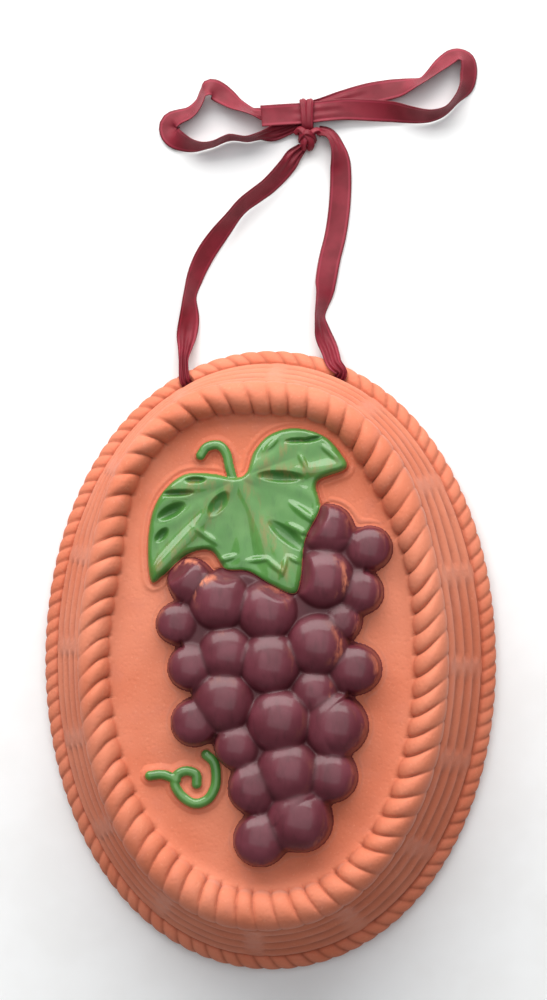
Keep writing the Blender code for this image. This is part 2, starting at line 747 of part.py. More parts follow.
def make_mold():
    clay = make_material("terracotta", (0.74, 0.31, 0.18), 0.75)
    basket = make_basket(clay)
    relief = [make_grape_bed(clay)]
    for across, along, radius in GRAPES:
        relief.append(make_grape(on_panel(across, along), radius * PANEL_HALF_WIDTH / 100, clay))
    relief.append(make_leaf(clay))
    relief.append(make_stalk("stem", STEM_LINE, STEM_RADIUS, STEM_SIDES, clay))
    relief.append(make_stalk("tendril", TENDRIL_LINE, TENDRIL_RADIUS, TENDRIL_SIDES, clay))
    relief.append(make_stalk("tendril_branch", TENDRIL_BRANCH, TENDRIL_RADIUS, TENDRIL_SIDES, clay))
    combine(basket, "relief", "UNION", relief)
    left = make_hole("left_hole", -LEFT_HOLE_REACH, clay)
    right = make_hole("right_hole", RIGHT_HOLE_REACH, clay)
    combine(basket, "holes", "DIFFERENCE", [left, right])


def ribbon_stations(route):
    """Place, width and roll of the ribbon at each point of a route. Its lower edge is at the lift."""
    stations = []
    for x, beyond, lift, share, degrees in route:
        roll = math.radians(degrees)
        width = RIBBON_WIDTH * share
        half = width / 2 * abs(math.sin(roll)) + RIBBON_THICKNESS / 2 * abs(math.cos(roll))
        stations.append((x * MM, TOP_END + beyond * MM, lift * MM + half, width, roll))
    return stations


def hole_stations(reach):
    """Stations on the axis of a ribbon hole, where the ribbon is gathered, from outside to inside."""
    mouth, axis = hole_frame(reach)
    return [(*(mouth + axis * out), GATHERED_WIDTH, 0.0) for out in HOLE_STATIONS]


def make_ribbon(name, stations, material):
    """One flat strip of ribbon swept along its stations."""
    route = smooth_route(stations, RIBBON_STEP)
    bm = bmesh.new()
    rings = []
    for i, station in enumerate(route):
        here = Vector(station[:3])
        width, roll = station[3:]
        ahead = heading(route, i)
        level = ahead.cross(Vector((0, 0, 1))).normalized()
        across = level * math.cos(roll) + level.cross(ahead) * math.sin(roll)
        half = across * width / 2
        skin = across.cross(ahead) * RIBBON_THICKNESS / 2
        corners = (here + half + skin, here - half + skin, here - half - skin, here + half - skin)
        rings.append([bm.verts.new(corner) for corner in corners])
    for first, second in zip(rings, rings[1:]):
        join_loops(bm, first, second)
    bm.faces.new(rings[0])
    bm.faces.new(rings[-1])

    # Where the ribbon twists its quads aren't flat, and triangles always are
    bmesh.ops.triangulate(bm, faces=bm.faces)
    return make_object(name, bm, material)


def make_hanging_ribbon(material):
    stations = ribbon_stations(HANGING_LEFT)
    stations += hole_stations(-LEFT_HOLE_REACH)
    stations += ribbon_stations(HOLLOW_CROSSING)
    stations += reversed(hole_stations(RIGHT_HOLE_REACH))
    stations += ribbon_stations(HANGING_RIGHT)
    return make_ribbon("hanging_ribbon", stations, material)


def make_knot(material):
    """The turn of ribbon round the waist: a flat open ring, with the knot as a small lump under it."""
    bm = bmesh.new()
    waist = Vector((WAIST_X, TOP_END + WAIST_BEYOND, (WAIST_TOP + WAIST_BOTTOM) / 2))
    inner_rise = (WAIST_TOP - WAIST_BOTTOM) / 2 - RIBBON_THICKNESS
    loops = []
    for end, skin in ((1, 0.0), (1, RIBBON_THICKNESS), (-1, RIBBON_THICKNESS), (-1, 0.0)):
        loop = []
        for k in range(WAIST_SIDES):
            swing = 2 * math.pi * (k + 0.5) / WAIST_SIDES
            y = math.copysign(abs(math.cos(swing)) ** WAIST_SQUARENESS, math.cos(swing))
            z = math.copysign(abs(math.sin(swing)) ** WAIST_SQUARENESS, math.sin(swing))
            offset = Vector((end * WRAP_WIDTH / 2, y * (WAIST_HALF_LENGTH + skin), z * (inner_rise + skin)))
            loop.append(bm.verts.new(waist + offset))
        loops.append(loop)
    for first, second in zip(loops, loops[1:] + loops[:1]):
        join_loops(bm, first, second)
    wrap = make_object("ribbon_knot", bm, material)
    bm = bmesh.new()
    bmesh.ops.create_icosphere(bm, subdivisions=1, radius=1.0)
    bmesh.ops.scale(bm, vec=KNOT_RADII, verts=bm.verts)
    below = waist.y - WAIST_HALF_LENGTH - KNOT_BELOW
    bmesh.ops.translate(bm, vec=(WAIST_X, below, WAIST_BOTTOM + KNOT_RADII[2]), verts=bm.verts)
    lump = make_object("knot_lump", bm, material)
    combine(wrap, "knot", "UNION", [lump])


def make_ribbons():
    satin = make_material("burgundy satin", (0.30, 0.02, 0.05), 0.4)
    make_hanging_ribbon(satin)
    make_ribbon("bow_ribbon", ribbon_stations(BOW_ROUTE), satin)
    make_knot(satin)


clear_scene()
make_mold()
make_ribbons()
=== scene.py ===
"""Looks of the decorative kitchen mold: an oval terracotta basket that frames painted grapes and a vine
leaf, with a thin satin ribbon through two holes and a flat bow. Metres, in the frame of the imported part."""

import json
import math

import bmesh
import bpy
import numpy as np
from mathutils import Matrix, Vector

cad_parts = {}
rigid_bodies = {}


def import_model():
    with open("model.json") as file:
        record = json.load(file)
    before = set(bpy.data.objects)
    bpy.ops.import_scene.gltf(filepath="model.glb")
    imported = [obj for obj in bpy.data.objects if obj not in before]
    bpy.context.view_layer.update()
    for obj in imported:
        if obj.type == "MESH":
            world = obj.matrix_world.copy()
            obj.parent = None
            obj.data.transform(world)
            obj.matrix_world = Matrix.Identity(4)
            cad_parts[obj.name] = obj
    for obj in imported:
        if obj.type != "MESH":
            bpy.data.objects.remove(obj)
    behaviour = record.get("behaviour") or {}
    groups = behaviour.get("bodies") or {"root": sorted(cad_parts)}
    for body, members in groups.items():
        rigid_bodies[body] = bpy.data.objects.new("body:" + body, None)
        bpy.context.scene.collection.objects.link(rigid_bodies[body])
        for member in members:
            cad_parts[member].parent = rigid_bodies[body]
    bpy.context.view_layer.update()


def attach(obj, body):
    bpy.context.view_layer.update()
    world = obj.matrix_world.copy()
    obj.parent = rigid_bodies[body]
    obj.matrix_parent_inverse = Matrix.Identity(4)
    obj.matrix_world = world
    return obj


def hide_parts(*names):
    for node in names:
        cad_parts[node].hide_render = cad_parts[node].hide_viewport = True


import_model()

MM = 0.001
UP = np.array((0.0, 0.0, 1.0))

# Sizes of the casting, after the part's source, but with the ropes' real numbers of strands
PANEL_HALF_WIDTH = 38.8 * MM
PANEL_HALF_LENGTH = 62.6 * MM
OVAL_FULLNESS = 2.05
TOP_ROPE_WIDTH = 12.0 * MM
WALL_RUN = 10.0 * MM
FOOT_ROPE_RADIUS = 3.3 * MM
FOOT_ROPE_INSET = 1.1 * MM
TOP_END = PANEL_HALF_LENGTH + TOP_ROPE_WIDTH + WALL_RUN + FOOT_ROPE_INSET + FOOT_ROPE_RADIUS
PANEL_HEIGHT = 31.0 * MM
PANEL_DOME = 1.2 * MM
TOP_ROPE_RISE = 6.0 * MM
CLAY_THICKNESS = 5.0 * MM
CAVITY_FILLET = 4.0 * MM
TOP_ROPE_STRANDS = 66
TOP_ROPE_GROOVE = 1.3 * MM
TOP_ROPE_LEAN = 7.0 * MM
TOP_ROPE_SWEEP = 1.4
FOOT_ROPE_STRANDS = 108
FOOT_ROPE_GROOVE = 0.5 * MM
FOOT_ROPE_LEAN = 4.4 * MM
FOOT_ROPE_SEAM = math.radians(100)
FOOT_ROPE_UNDERCUT = math.radians(-70)
SEAM_DROP = 0.11 * MM
WEAVE_ROWS = 4
WEAVE_STAKES = 16
WEAVE_RELIEF = 1.6 * MM
STAKE_RELIEF = 1.1 * MM

# How many points the skin has: to a strand, and round the panel, the wall and the hollow
TOP_STRAND_POINTS = 14
FOOT_STRAND_POINTS = 8
PANEL_POINTS = 450
WALL_POINTS = 882
HOLLOW_POINTS = 441

# Relief on the panel, after the part's source. Where nothing stands, its heights go down to the floor
GRAPE_STAND = 4.2 * MM
GRAPE_SPREAD = 1.22
GRAPE_REACH = 1.05
GRAPE_FLATTENING = 0.72
GRAPE_BED = 5.2 * MM
GRAPE_FLOOR = 6.0 * MM
GRAPE_SHOULDER = GRAPE_STAND + 2.6 * MM
LEAF_WEB = 3.0 * MM
LEAF_BEVEL = 1.6 * MM
STALK_RADIUS = 1.5 * MM

# The relief is drawn from the panel's middle, across in hundredths of the panel's half width and
# along in hundredths of its half length. Each grape: across, along and its radius, as the width is.
# The outer ones come first, clockwise
GRAPES = (
    (47.9, 55.9, 16.2), (77.3, 47.3, 14.4), (71.6, 27.8, 13.7), (58.5, 14.7, 11.3), (67.3, -5.8, 16.2),
    (54.1, -30.5, 19.6), (49.7, -52.6, 16.5), (27.8, -71.9, 20.4), (-1.5, -80.2, 17.5),
    (-6.7, -57.8, 16.2), (-18.6, -39.8, 13.9), (-47.9, -29.1, 15.7), (-51.3, -5.0, 14.7),
    (-61.1, 14.5, 13.4), (-51.3, 33.4, 14.9), (44.6, 33.9, 17.5), (-29.4, 24.6, 17.8), (4.4, 19.8, 17.5),
    (40.2, 5.0, 17.8), (-25.0, 1.1, 16.0), (6.4, -3.0, 17.8), (37.9, -15.8, 13.4), (-26.3, -19.8, 17.5),
    (12.9, -28.4, 18.6), (19.3, -50.5, 18.6),
)
OUTER_GRAPES = 15

# Edge of the vine leaf, clockwise from the stalk
LEAF_EDGE = (
    (-11.3, 80.8), (-5.7, 90.4), (6.2, 98.1), (24.2, 100.8), (43.8, 97.4), (56.2, 89.8), (60.3, 82.4),
    (39.7, 76.4), (42.0, 64.9), (31.4, 50.5), (28.4, 33.5), (23.2, 27.0), (6.7, 31.3), (-9.3, 37.1),
    (-25.8, 38.3), (-36.6, 46.3), (-53.1, 44.7), (-68.6, 36.4), (-78.9, 32.6), (-82.0, 46.3),
    (-79.4, 62.0), (-71.1, 72.8), (-55.7, 80.5), (-35.1, 80.8), (-21.1, 78.9),
)

# The leaf's ribs run from the stalk to these places
LEAF_STALK = (-16.5, 78.3)
LEAF_TIPS = ((50.5, 84.0), (23.7, 93.6), (22.2, 31.9), (-73.2, 38.3), (-62.9, 74.1))

# Middle lines of the stem and of the tendril
STEM_LINE = ((-43.8, 88.8), (-39.2, 92.5), (-30.9, 93.3), (-25.3, 89.5), (-22.9, 83.1), (-19.6, 76.0))
TENDRIL_LINE = (
    (-39.7, -43.1), (-34.3, -46.3), (-32.5, -51.8), (-33.5, -57.5), (-38.7, -62.6), (-47.7, -64.4),
    (-56.7, -61.3), (-61.9, -56.2), (-60.3, -52.1), (-53.6, -50.2), (-46.9, -51.8), (-46.4, -55.9),
)
TENDRIL_BRANCH = ((-60.8, -54.0), (-70.6, -51.9), (-79.9, -52.4))

# How far the hand-made casting's real edges lie outside the even oval, in mm, at sixteen even steps
# round it from the right-hand side: the panel's edge and the top rope's outer edge
PANEL_EDGE_SHIFT = (2.7, 3.2, 3.2, 5.4, 3.8, 7.2, 7.4, 3.1, 3.4, 3.1, 2.5, 1.4, 0.9, 2.2, 3.0, 2.8)
ROPE_EDGE_SHIFT = (0.6, 0.4, 2.4, 2.9, 1.9, 4.0, 3.2, 0.7, 0.6, 0.8, 1.0, 0.8, 0.4, 0.7, 0.5, 0.7)

# How much higher each grape stands than the common height, in mm, and how worn its paint is: how much
# and towards which side, in degrees
GRAPE_LIFTS = (
    -0.3, -0.5, -0.4, -0.2, -0.3, 0.1, -0.2, 0.0, -0.4, -0.2, -0.2, -0.3, -0.2, -0.4, -0.4,
    0.2, 0.3, 0.4, 0.4, 0.1, 0.5, 0.0, 0.3, 0.5, 0.3,
)
GRAPE_WEAR = (
    (0.4, 40), (0.4, 20), (0.4, 0), (0.8, 0), (0.8, 0), (0.4, 0), (0.3, 0), (0.3, -40), (0.2, -90),
    (0.1, 180), (0.1, 180), (0.15, 200), (0.15, 180), (0.3, 150), (0.8, 90), (0.9, 0), (1.0, 135),
    (0.4, 60), (0.8, 0), (0.15, 90), (0.15, 0), (0.3, 0), (0.1, 90), (0.1, 0), (0.1, 0),
)

# Dents and small ridges of the leaf: x and y of the middle, length and width in mm, degrees, height in mm
LEAF_MARKS = (
    (-18.3, 48.6, 4.7, 1.3, 0, -0.9), (-23.3, 45.0, 7.5, 1.4, 2, -0.9), (-25.0, 40.0, 6.6, 2.5, 28, -1.0),
    (-27.7, 33.4, 3.9, 1.9, 48, -0.8), (-11.9, 41.9, 6.4, 2.9, 50, -1.0),
    (5.2, 49.4, 10.0, 2.4, -3, -1.0), (9.9, 59.4, 5.5, 1.1, 3, -0.7), (14.2, 59.8, 4.7, 1.1, 12, -0.7),
    (7.4, 32.9, 10.5, 2.8, -38, -0.8), (2.8, 58.4, 4.4, 1.4, 45, 0.4), (11.6, 53.6, 3.9, 1.2, -60, 0.4),
    (19.3, 55.8, 5.5, 1.3, -40, 0.4), (12.1, 39.0, 8.3, 1.7, -38, 0.5), (10.2, 34.6, 5.0, 1.4, -30, 0.4),
    (-15.0, 33.0, 6.1, 1.4, -35, 0.4), (-9.2, 26.9, 3.9, 1.3, 15, 0.4), (-0.9, 26.3, 5.0, 1.3, 5, 0.4),
    (3.8, 24.7, 5.0, 1.3, -42, 0.4), (6.4, 24.1, 5.0, 1.1, 75, 0.4), (9.3, 26.3, 3.3, 1.1, -30, 0.4),
)

# Sizes of the ribbon and its holes, as in the part's source
RIBBON_WIDTH = 6.35 * MM
RIBBON_THICKNESS = 0.26 * MM
GATHERED_WIDTH = 3.2 * MM
LEFT_HOLE_REACH = 19.3 * MM
RIGHT_HOLE_REACH = 16.9 * MM
HOLE_RADIUS = 2.2 * MM
HOLE_OUT = 0.8 * MM
HOLE_LIFT = 0.2 * MM
HOLE_RISE = math.radians(25)
WAIST_Y = TOP_END + 70.0 * MM

# Ribbon routes, as in the part's source: x, distance beyond the top end and lift in mm, share of the
# full width, and roll in degrees. A row of three leaves out the lift and the share, which are 0.4 and 1
LYING = (0.4, 1.0)
HANGING_LEFT = (
    (9.9, 60.4, 1.2, 0.47, 30), (7.5, 58.1, 0.8, 0.75, 30), (5.7, 55.3, 0.5, 0.96, 46), (3.1, 52.1, 50),
    (-0.2, 48.8, 54), (-3.7, 46.2, 56), (-7.5, 43.2, 60), (-10.6, 39.7, 60), (-14.8, 34.5, 45),
    (-18.8, 28.7, 40), (-21.5, 22.7, 48), (-23.2, 16.5, 60), (-23.5, 10.1, 0.5, 1.0, 30),
    (-24.2, 4.9, 1.4, 0.94, 8), (-24.5, 1.1, 3.2, 0.68, 0), (-24.7, -3.0, 5.4, 0.45, 0),
)
HANGING_RIGHT = (
    (19.1, -4.3, 5.8, 0.74, -14), (17.7, 0.1, 2.6, 0.82, -10), (15.8, 4.9, 0.6, 0.95, -38),
    (14.9, 10.3, -66), (16.2, 16.6, -44), (16.6, 20.4, -20), (17.7, 27.0, 0.3, 1.0, -6),
    (19.5, 34.5, 0.3, 1.0, 0), (20.6, 41.8, 0.3, 1.0, -4), (21.1, 48.9, 0.3, 1.0, -10),
    (21.1, 53.5, 0.3, 1.0, -18), (21.0, 56.6, -32), (20.4, 59.8, 0.4, 0.98, -48),
    (19.0, 63.0, 0.6, 0.86, -52), (17.2, 64.6, 0.8, 0.76, -46), (14.6, 65.2, 1.2, 0.6, -36),
)
HOLLOW_CROSSING = (
    (-16.0, -22.6, 1.6, 0.57, 60), (-8.6, -26.2, 0.6, 0.79, 80), (0.0, -27.4, 0.4, 0.88, 86),
    (8.0, -26.0, 0.6, 0.79, 80), (14.2, -21.8, 1.6, 0.57, 60),
)
BOW_ROUTE = (
    (-2.0, 69.2, 4.8, 1.0, 0), (2.4, 69.6, 4.1, 1.0, 0), (6.6, 70.0, 3.3, 1.0, 0),
    (11.4, 70.3, 3.1, 0.98, 0), (16.4, 70.9, 2.9, 0.98, 0), (22.5, 71.4, 2.1, 1.0, -6),
    (29.1, 71.1, 1.4, 1.0, -16), (36.4, 70.4, 0.8, 1.0, -34), (40.5, 69.6, 0.5, 1.0, -50),
    (44.1, 69.0, -61), (47.4, 68.9, -70), (50.8, 69.8, -79), (53.1, 71.3, -83), (55.8, 74.4, -76),
    (58.0, 77.8, -50), (58.7, 80.9, -41), (58.9, 83.4, -43), (58.3, 85.8, -45),
    (56.3, 87.0, 0.5, 1.0, -46), (53.9, 86.5, 0.6, 1.0, -38), (50.9, 84.2, 0.6, 1.0, -42),
    (48.3, 81.7, 0.5, 1.0, -55), (45.8, 79.7, -62), (43.8, 78.9, -56), (41.6, 78.3, -41),
    (38.7, 77.7, -22), (35.0, 77.3, -8), (29.1, 76.4, 0), (21.7, 74.4, 0.7, 0.96, 0),
    (14.8, 72.3, 1.9, 0.79, 0), (8.4, 71.0, 1.9, 0.79, 0), (4.2, 70.2, 1.7, 0.82, -10),
    (0.6, 69.9, 1.0, 0.86, -28), (-2.2, 70.3, 0.6, 0.9, -42), (-5.2, 71.2, 0.5, 1.0, -60),
    (-9.7, 73.5, 0.5, 1.0, -43), (-12.5, 75.7, 0.9, 1.0, -23), (-14.9, 77.4, 1.8, 1.0, -10),
    (-16.9, 78.2, 2.4, 1.0, -16), (-18.4, 77.7, 1.8, 1.0, -40), (-19.4, 76.6, 0.6, 1.0, -60),
    (-20.0, 74.9, -60), (-21.3, 72.8, -52), (-23.4, 71.0, -43), (-26.6, 70.0, -32), (-28.9, 68.9, -14),
    (-29.5, 67.0, -6), (-28.5, 64.6, -20), (-26.0, 62.8, -42), (-22.2, 61.3, -68), (-18.9, 61.1, -84),
    (-15.9, 61.7, -88), (-13.5, 62.8, -88), (-11.3, 63.5, -86), (-9.1, 63.3, -88), (-6.5, 62.8, -88),
    (-3.9, 63.3, -86), (-1.5, 64.1, 0.4, 0.95, -78), (1.5, 65.0, 0.4, 0.84, -40),
    (4.8, 66.2, 0.7, 0.7, -14), (7.4, 67.2, 1.1, 0.66, 0), (9.6, 67.9, 1.1, 0.66, 0),
    (12.8, 68.2, 1.1, 0.66, 0),
)
HOLE_STATIONS = (1.4 * MM, -1.0 * MM, -4.6 * MM, -8.4 * MM)

# Colours of the clay, the paints and the satin
CLAY_LIGHT = (0.69, 0.225, 0.128)
CLAY_DEEP = (0.61, 0.165, 0.083)
CLAY_ROSY = (0.60, 0.19, 0.12)
CLAY_PALE = (0.78, 0.36, 0.24)
CLAY_SLIP = (0.55, 0.27, 0.21)
# Painted shade: the clay's colour deep in its grooves and creases
CLAY_GROOVE_SHADE = (0.30, 0.065, 0.03)
CLAY_ROUGHNESS = 0.72
CLAY_SPECULAR = 0.32
SURFACE_DEPTH = 0.16 * MM
# The paints' colours: body, deep and light. The deep one darkens brush streaks and is painted shade in the
# valleys between grapes and in the leaf's dents
GRAPE_COLORS = ((0.112, 0.016, 0.027), (0.05, 0.007, 0.011), (0.15, 0.028, 0.043))
LEAF_COLORS = ((0.058, 0.20, 0.030), (0.022, 0.105, 0.014), (0.09, 0.24, 0.05))
GRAPE_GLOSS = (0.5, 0.42, 0.17)
LEAF_GLOSS = (0.46, 0.85, 0.07)
SATIN_BODY = (0.19, 0.009, 0.020)
SATIN_DEEP = (0.13, 0.006, 0.012)
SATIN_LIGHT = (0.46, 0.045, 0.085)

# The camera of the photograph: where it stands, its turn about X and Y and its roll
CAMERA_AT = (43.5 * MM, -4.5 * MM, 640.0 * MM)
CAMERA_TILT = (0.07815, 0.06595, -0.00688)
CAMERA_LENS = 79.45

# The table is a hair under the sole, so that the two don't lie in one plane
TABLE_LEVEL = -0.08 * MM
TABLE_HALF_WIDTH = 3.0


# Camera, lights and floor

def add_camera():
    camera_data = bpy.data.cameras.new("photo_camera")
    camera_data.lens = CAMERA_LENS
    camera_data.sensor_width = 36.0
    camera_data.clip_start = 0.01
    camera = bpy.data.objects.new("photo_camera", camera_data)
    tilt_x, tilt_y, roll = CAMERA_TILT
    turn = Matrix.Rotation(tilt_x, 4, "X") @ Matrix.Rotation(tilt_y, 4, "Y") @ Matrix.Rotation(roll, 4, "Z")
    camera.matrix_world = Matrix.Translation(CAMERA_AT) @ turn
    bpy.context.scene.collection.objects.link(camera)
    bpy.context.scene.camera = camera


def add_light(name, place, size, watts, color):
    """A soft panel of light that faces the casting."""
    light_data = bpy.data.lights.new(name, "AREA")
    light_data.shape = "RECTANGLE"
    light_data.size, light_data.size_y = size
    light_data.energy = watts
    light_data.color = color
    light = bpy.data.objects.new(name, light_data)
    light.location = place
    light.rotation_euler = (-Vector(place)).to_track_quat("-Z", "Y").to_euler()
    bpy.context.scene.collection.objects.link(light)


def add_studio():
    """A wide soft window beyond the top end, a faint large one overhead and an even pale room."""
    add_light("window", (-0.08, 0.83, 0.55), (1.5, 0.7), 19.0, (1.0, 0.985, 0.965))
    add_light("overhead", (0.03, 0.16, 1.3), (1.4, 1.3), 8.0, (0.98, 0.99, 1.0))
    world = bpy.data.worlds.new("studio")
    bpy.context.scene.world = world
    world.use_nodes = True
    room = {"Color": (0.95, 0.97, 1.0, 1.0), "Strength": 0.17}
    fill(world.node_tree.nodes["Background"], room)
    bpy.context.scene.view_settings.view_transform = "Standard"


# Small tools for meshes

def curve_between(before, here, there, after, t):
    """A smooth curve through neighbours in a row, t of the way from the second to the third."""
    bend = 2 * before - 5 * here + 4 * there - after
    end = 3 * here - before - 3 * there + after
    return 0.5 * (2 * here + (there - before) * t + bend * t**2 + end * t**3)


def smooth_points(keys, step, closed=False):
    """Rows about a step apart on a smooth curve through the given rows, as the part's source draws it."""
    keys = np.asarray(keys, float)
    if closed:
        keys = np.vstack((keys[-1:], keys, keys[:2]))
    else:
        keys = np.vstack((2 * keys[0] - keys[1], keys, 2 * keys[-1] - keys[-2]))
    found = []
    for before, here, there, after in zip(keys, keys[1:], keys[2:], keys[3:]):
        count = max(1, round(float(np.linalg.norm((there - here)[:3])) / step))
        t = (np.arange(count) / count)[:, None]
        found.append(curve_between(before, here, there, after, t))
    if not closed:
        found.append(keys[-2:-1])
    return np.vstack(found)


def unit(vectors):
    return vectors / np.maximum(np.linalg.norm(vectors, axis=-1, keepdims=True), 1e-12)


def make_piece(name, points, faces, material, marks=None, uvs=None):
    """A smooth-shaded mesh object. marks are named values at its points, uvs its coordinates there."""
    mesh = bpy.data.meshes.new(name)
    mesh.from_pydata(np.asarray(points).tolist(), [], [list(map(int, face)) for face in faces])
    mesh.update()
    mesh.shade_smooth()
    mesh.materials.append(material)
    add_marks(mesh, marks or {})
    if uvs is not None:
        layer = mesh.uv_layers.new(name="UVMap")
        corners = np.empty(len(mesh.loops), int)
        mesh.loops.foreach_get("vertex_index", corners)
        layer.uv.foreach_set("vector", np.asarray(uvs, np.float32)[corners].ravel())
    piece = bpy.data.objects.new(name, mesh)
    bpy.context.scene.collection.objects.link(piece)
    return piece


def add_marks(mesh, marks):
    for mark, values in marks.items():
        layer = mesh.attributes.new(mark, "FLOAT", "POINT")
        layer.data.foreach_set("value", np.asarray(values, np.float32))


def tube_faces(rings, around, closed=False):
    """Quads of a tube whose rings all have the same number of points, capped unless it is closed."""
    faces = []
    for i in range(rings if closed else rings - 1):
        a, b = i * around, (i + 1) % rings * around
        for k in range(around):
            n = (k + 1) % around
            faces.append((a + k, a + n, b + n, b + k))
    if not closed:
        faces.append(tuple(range(around))[::-1])
        faces.append(tuple(range((rings - 1) * around, rings * around)))
    return faces


def smoothstep(x, low, high):
    t = np.clip((x - low) / (high - low), 0.0, 1.0)
    return t * t * (3 - 2 * t)


def hump(x, middle, width):
    """A smooth rise to one at the middle."""
    return np.exp(-(((x - middle) / width) ** 2))


def waver(x, cycles, seed):
    """A gentle irregular wave of about one unit along x, which repeats when x grows by one."""
    draw = np.random.default_rng(seed)
    total = np.zeros_like(np.asarray(x, float))
    for share in (0.6, 1.0, 1.7, 2.3):
        count = max(1, round(cycles * share))
        total = total + np.sin(2 * math.pi * (count * x + draw.random())) * draw.uniform(0.3, 0.6)
    return total


# The oval of the casting

def oval_points(angle, out):
    """Places at these angles of the panel's edge, moved out from it along its normal."""
    across, along = np.cos(angle), np.sin(angle)
    power = 2 / OVAL_FULLNESS
    x = PANEL_HALF_WIDTH * np.sign(across) * np.abs(across) ** power
    y = PANEL_HALF_LENGTH * np.sign(along) * np.abs(along) ** power
    slope_x = np.sign(across) * np.abs(across) ** (2 - power) / PANEL_HALF_WIDTH
    slope_y = np.sign(along) * np.abs(along) ** (2 - power) / PANEL_HALF_LENGTH
    length = np.hypot(slope_x, slope_y)
    return x + out * slope_x / length, y + out * slope_y / length


OVAL_ANGLES = np.linspace(0.0, 2 * math.pi, 5761)
OVAL_RUN = np.concatenate(
    ([0.0], np.cumsum(np.hypot(*np.diff(oval_points(OVAL_ANGLES, TOP_ROPE_WIDTH), axis=1))))
)
OVAL_LENGTH = float(OVAL_RUN[-1])


def oval_angle(turn):
    return np.interp(np.asarray(turn) % 1.0, OVAL_RUN / OVAL_LENGTH, OVAL_ANGLES)


def edge_shift(angle, shifts):
    """The casting's own shift of an edge at these angles, on a smooth closed curve through its table."""
    place = np.asarray(angle) / (2 * math.pi) * len(shifts)
    first = np.floor(place).astype(int)
    t = place - first
    neighbours = (np.take(shifts, first + k, mode="wrap") for k in (-1, 0, 1, 2))
    return curve_between(*neighbours, t) * MM


def casting_points(angle, out):
    """Places as oval_points gives them, moved to where the hand-made casting has its edges."""
    out = np.asarray(out) + np.zeros_like(angle)
    inner = edge_shift(angle, PANEL_EDGE_SHIFT)
    outer = edge_shift(angle, ROPE_EDGE_SHIFT)
    share = np.clip(out / TOP_ROPE_WIDTH, 0, 1)
    foot = np.clip((out - TOP_ROPE_WIDTH) / WALL_RUN, 0, 1)
    return oval_points(angle, out + (inner + (outer - inner) * share) * (1 - foot))


def hole_frame(reach):
    """The middle of a ribbon hole's mouth and its outward axis, as in the part's source."""
    out = TOP_ROPE_WIDTH + WALL_RUN + HOLE_OUT
    angle = oval_angle(0.25 - reach / OVAL_LENGTH)
    near = np.array(oval_points(angle, 0.0))
    plan = unit(np.array(oval_points(angle, out)) - near)
    mouth = near + plan * out
    height = FOOT_ROPE_RADIUS * (1 - math.sin(FOOT_ROPE_UNDERCUT)) + HOLE_LIFT
    axis = np.append(plan * math.cos(HOLE_RISE), math.sin(HOLE_RISE))
    return np.append(mouth, height), axis


# The basket: panel, top rope, weave, foot rope, sole and hollow as one skin

def new_skin():
    return {"points": [], "groove": [], "wash": [], "faces": [], "count": 0}


def add_points(skin, points, groove=0.0, wash=0.0):
    """Adds points with their marks. Gives the number of the first."""
    start = skin["count"]
    skin["count"] += len(points)
    skin["points"].append(points)
    skin["groove"].append(np.broadcast_to(groove, len(points)))
    skin["wash"].append(np.broadcast_to(wash, len(points)))
    return start


def add_ring(skin, turns, out, height, groove=0.0, wash=0.0):
    """A closed ring of points round the oval. Gives its first number and its turns."""
    x, y = casting_points(oval_angle(turns), out)
    ring = np.stack(np.broadcast_arrays(x, y, height), axis=-1)
    return add_points(skin, ring, groove, wash), turns


def join_rows(skin, rings):
    """Quads between neighbouring rings that have the same number of points."""
    for (first, turns), (second, _) in zip(rings, rings[1:]):
        k = np.arange(len(turns))
        n = (k + 1) % len(turns)
        skin["faces"].extend(np.stack((first + k, second + k, second + n, first + n), axis=1).tolist())


def join_unlike(skin, first, second):
    """Triangles between two rings with different counts, each point next to its nearest in turn."""
    sides = []
    for start, turns in (first, second):
        order = np.argsort(turns % 1.0)
        sides.append([(turns[i] % 1.0, start + int(i)) for i in order])
        sides[-1].append((sides[-1][0][0] + 1.0, sides[-1][0][1]))
    a, b = sides
    i = j = 0
    while i < len(a) - 1 or j < len(b) - 1:
        if j == len(b) - 1 or (i < len(a) - 1 and a[i + 1][0] <= b[j + 1][0]):
            skin["faces"].append((a[i][1], b[j][1], a[i + 1][1]))
            i += 1
        else:
            skin["faces"].append((a[i][1], b[j][1], b[j + 1][1]))
            j += 1


def panel_top(x, y):
    share = np.hypot(x / PANEL_HALF_WIDTH, y / PANEL_HALF_LENGTH)
    return PANEL_HEIGHT + PANEL_DOME * (1 - np.minimum(share, 1.0) ** 2)


def add_middle(skin, columns, depth, shares):
    """Rings inside an oval at shares of its size, some depth under the panel's top."""
    turns = np.arange(columns) / columns
    x, y = casting_points(oval_angle(turns), 0.0)
    rings = []
    for share in shares:
        z = panel_top(x * share, y * share) - depth
        rings.append((add_points(skin, np.stack((x * share, y * share, z), axis=-1)), turns))
    return rings


def add_centre(skin, ring, depth, upward):
    """Closes the smallest ring of an oval with one point."""
    start, turns = ring
    centre = add_points(skin, np.array([[0.0, 0.0, PANEL_HEIGHT + PANEL_DOME - depth]]))
    for k in range(len(turns)):
        n = (k + 1) % len(turns)
        pair = (start + k, start + n) if upward else (start + n, start + k)
        skin["faces"].append((centre, *pair))


def strand_turns(strands, columns, lean, jitter):
    """Turns of a ring with so many points to a strand, and each one's share of its own strand."""
    place = np.arange(strands * columns) / columns
    strand = np.floor(place).astype(int)
    part = place - strand
    here, there = jitter[strand], jitter[(strand + 1) % strands]
    return (place + lean + here + (there - here) * part) / strands, strand, part


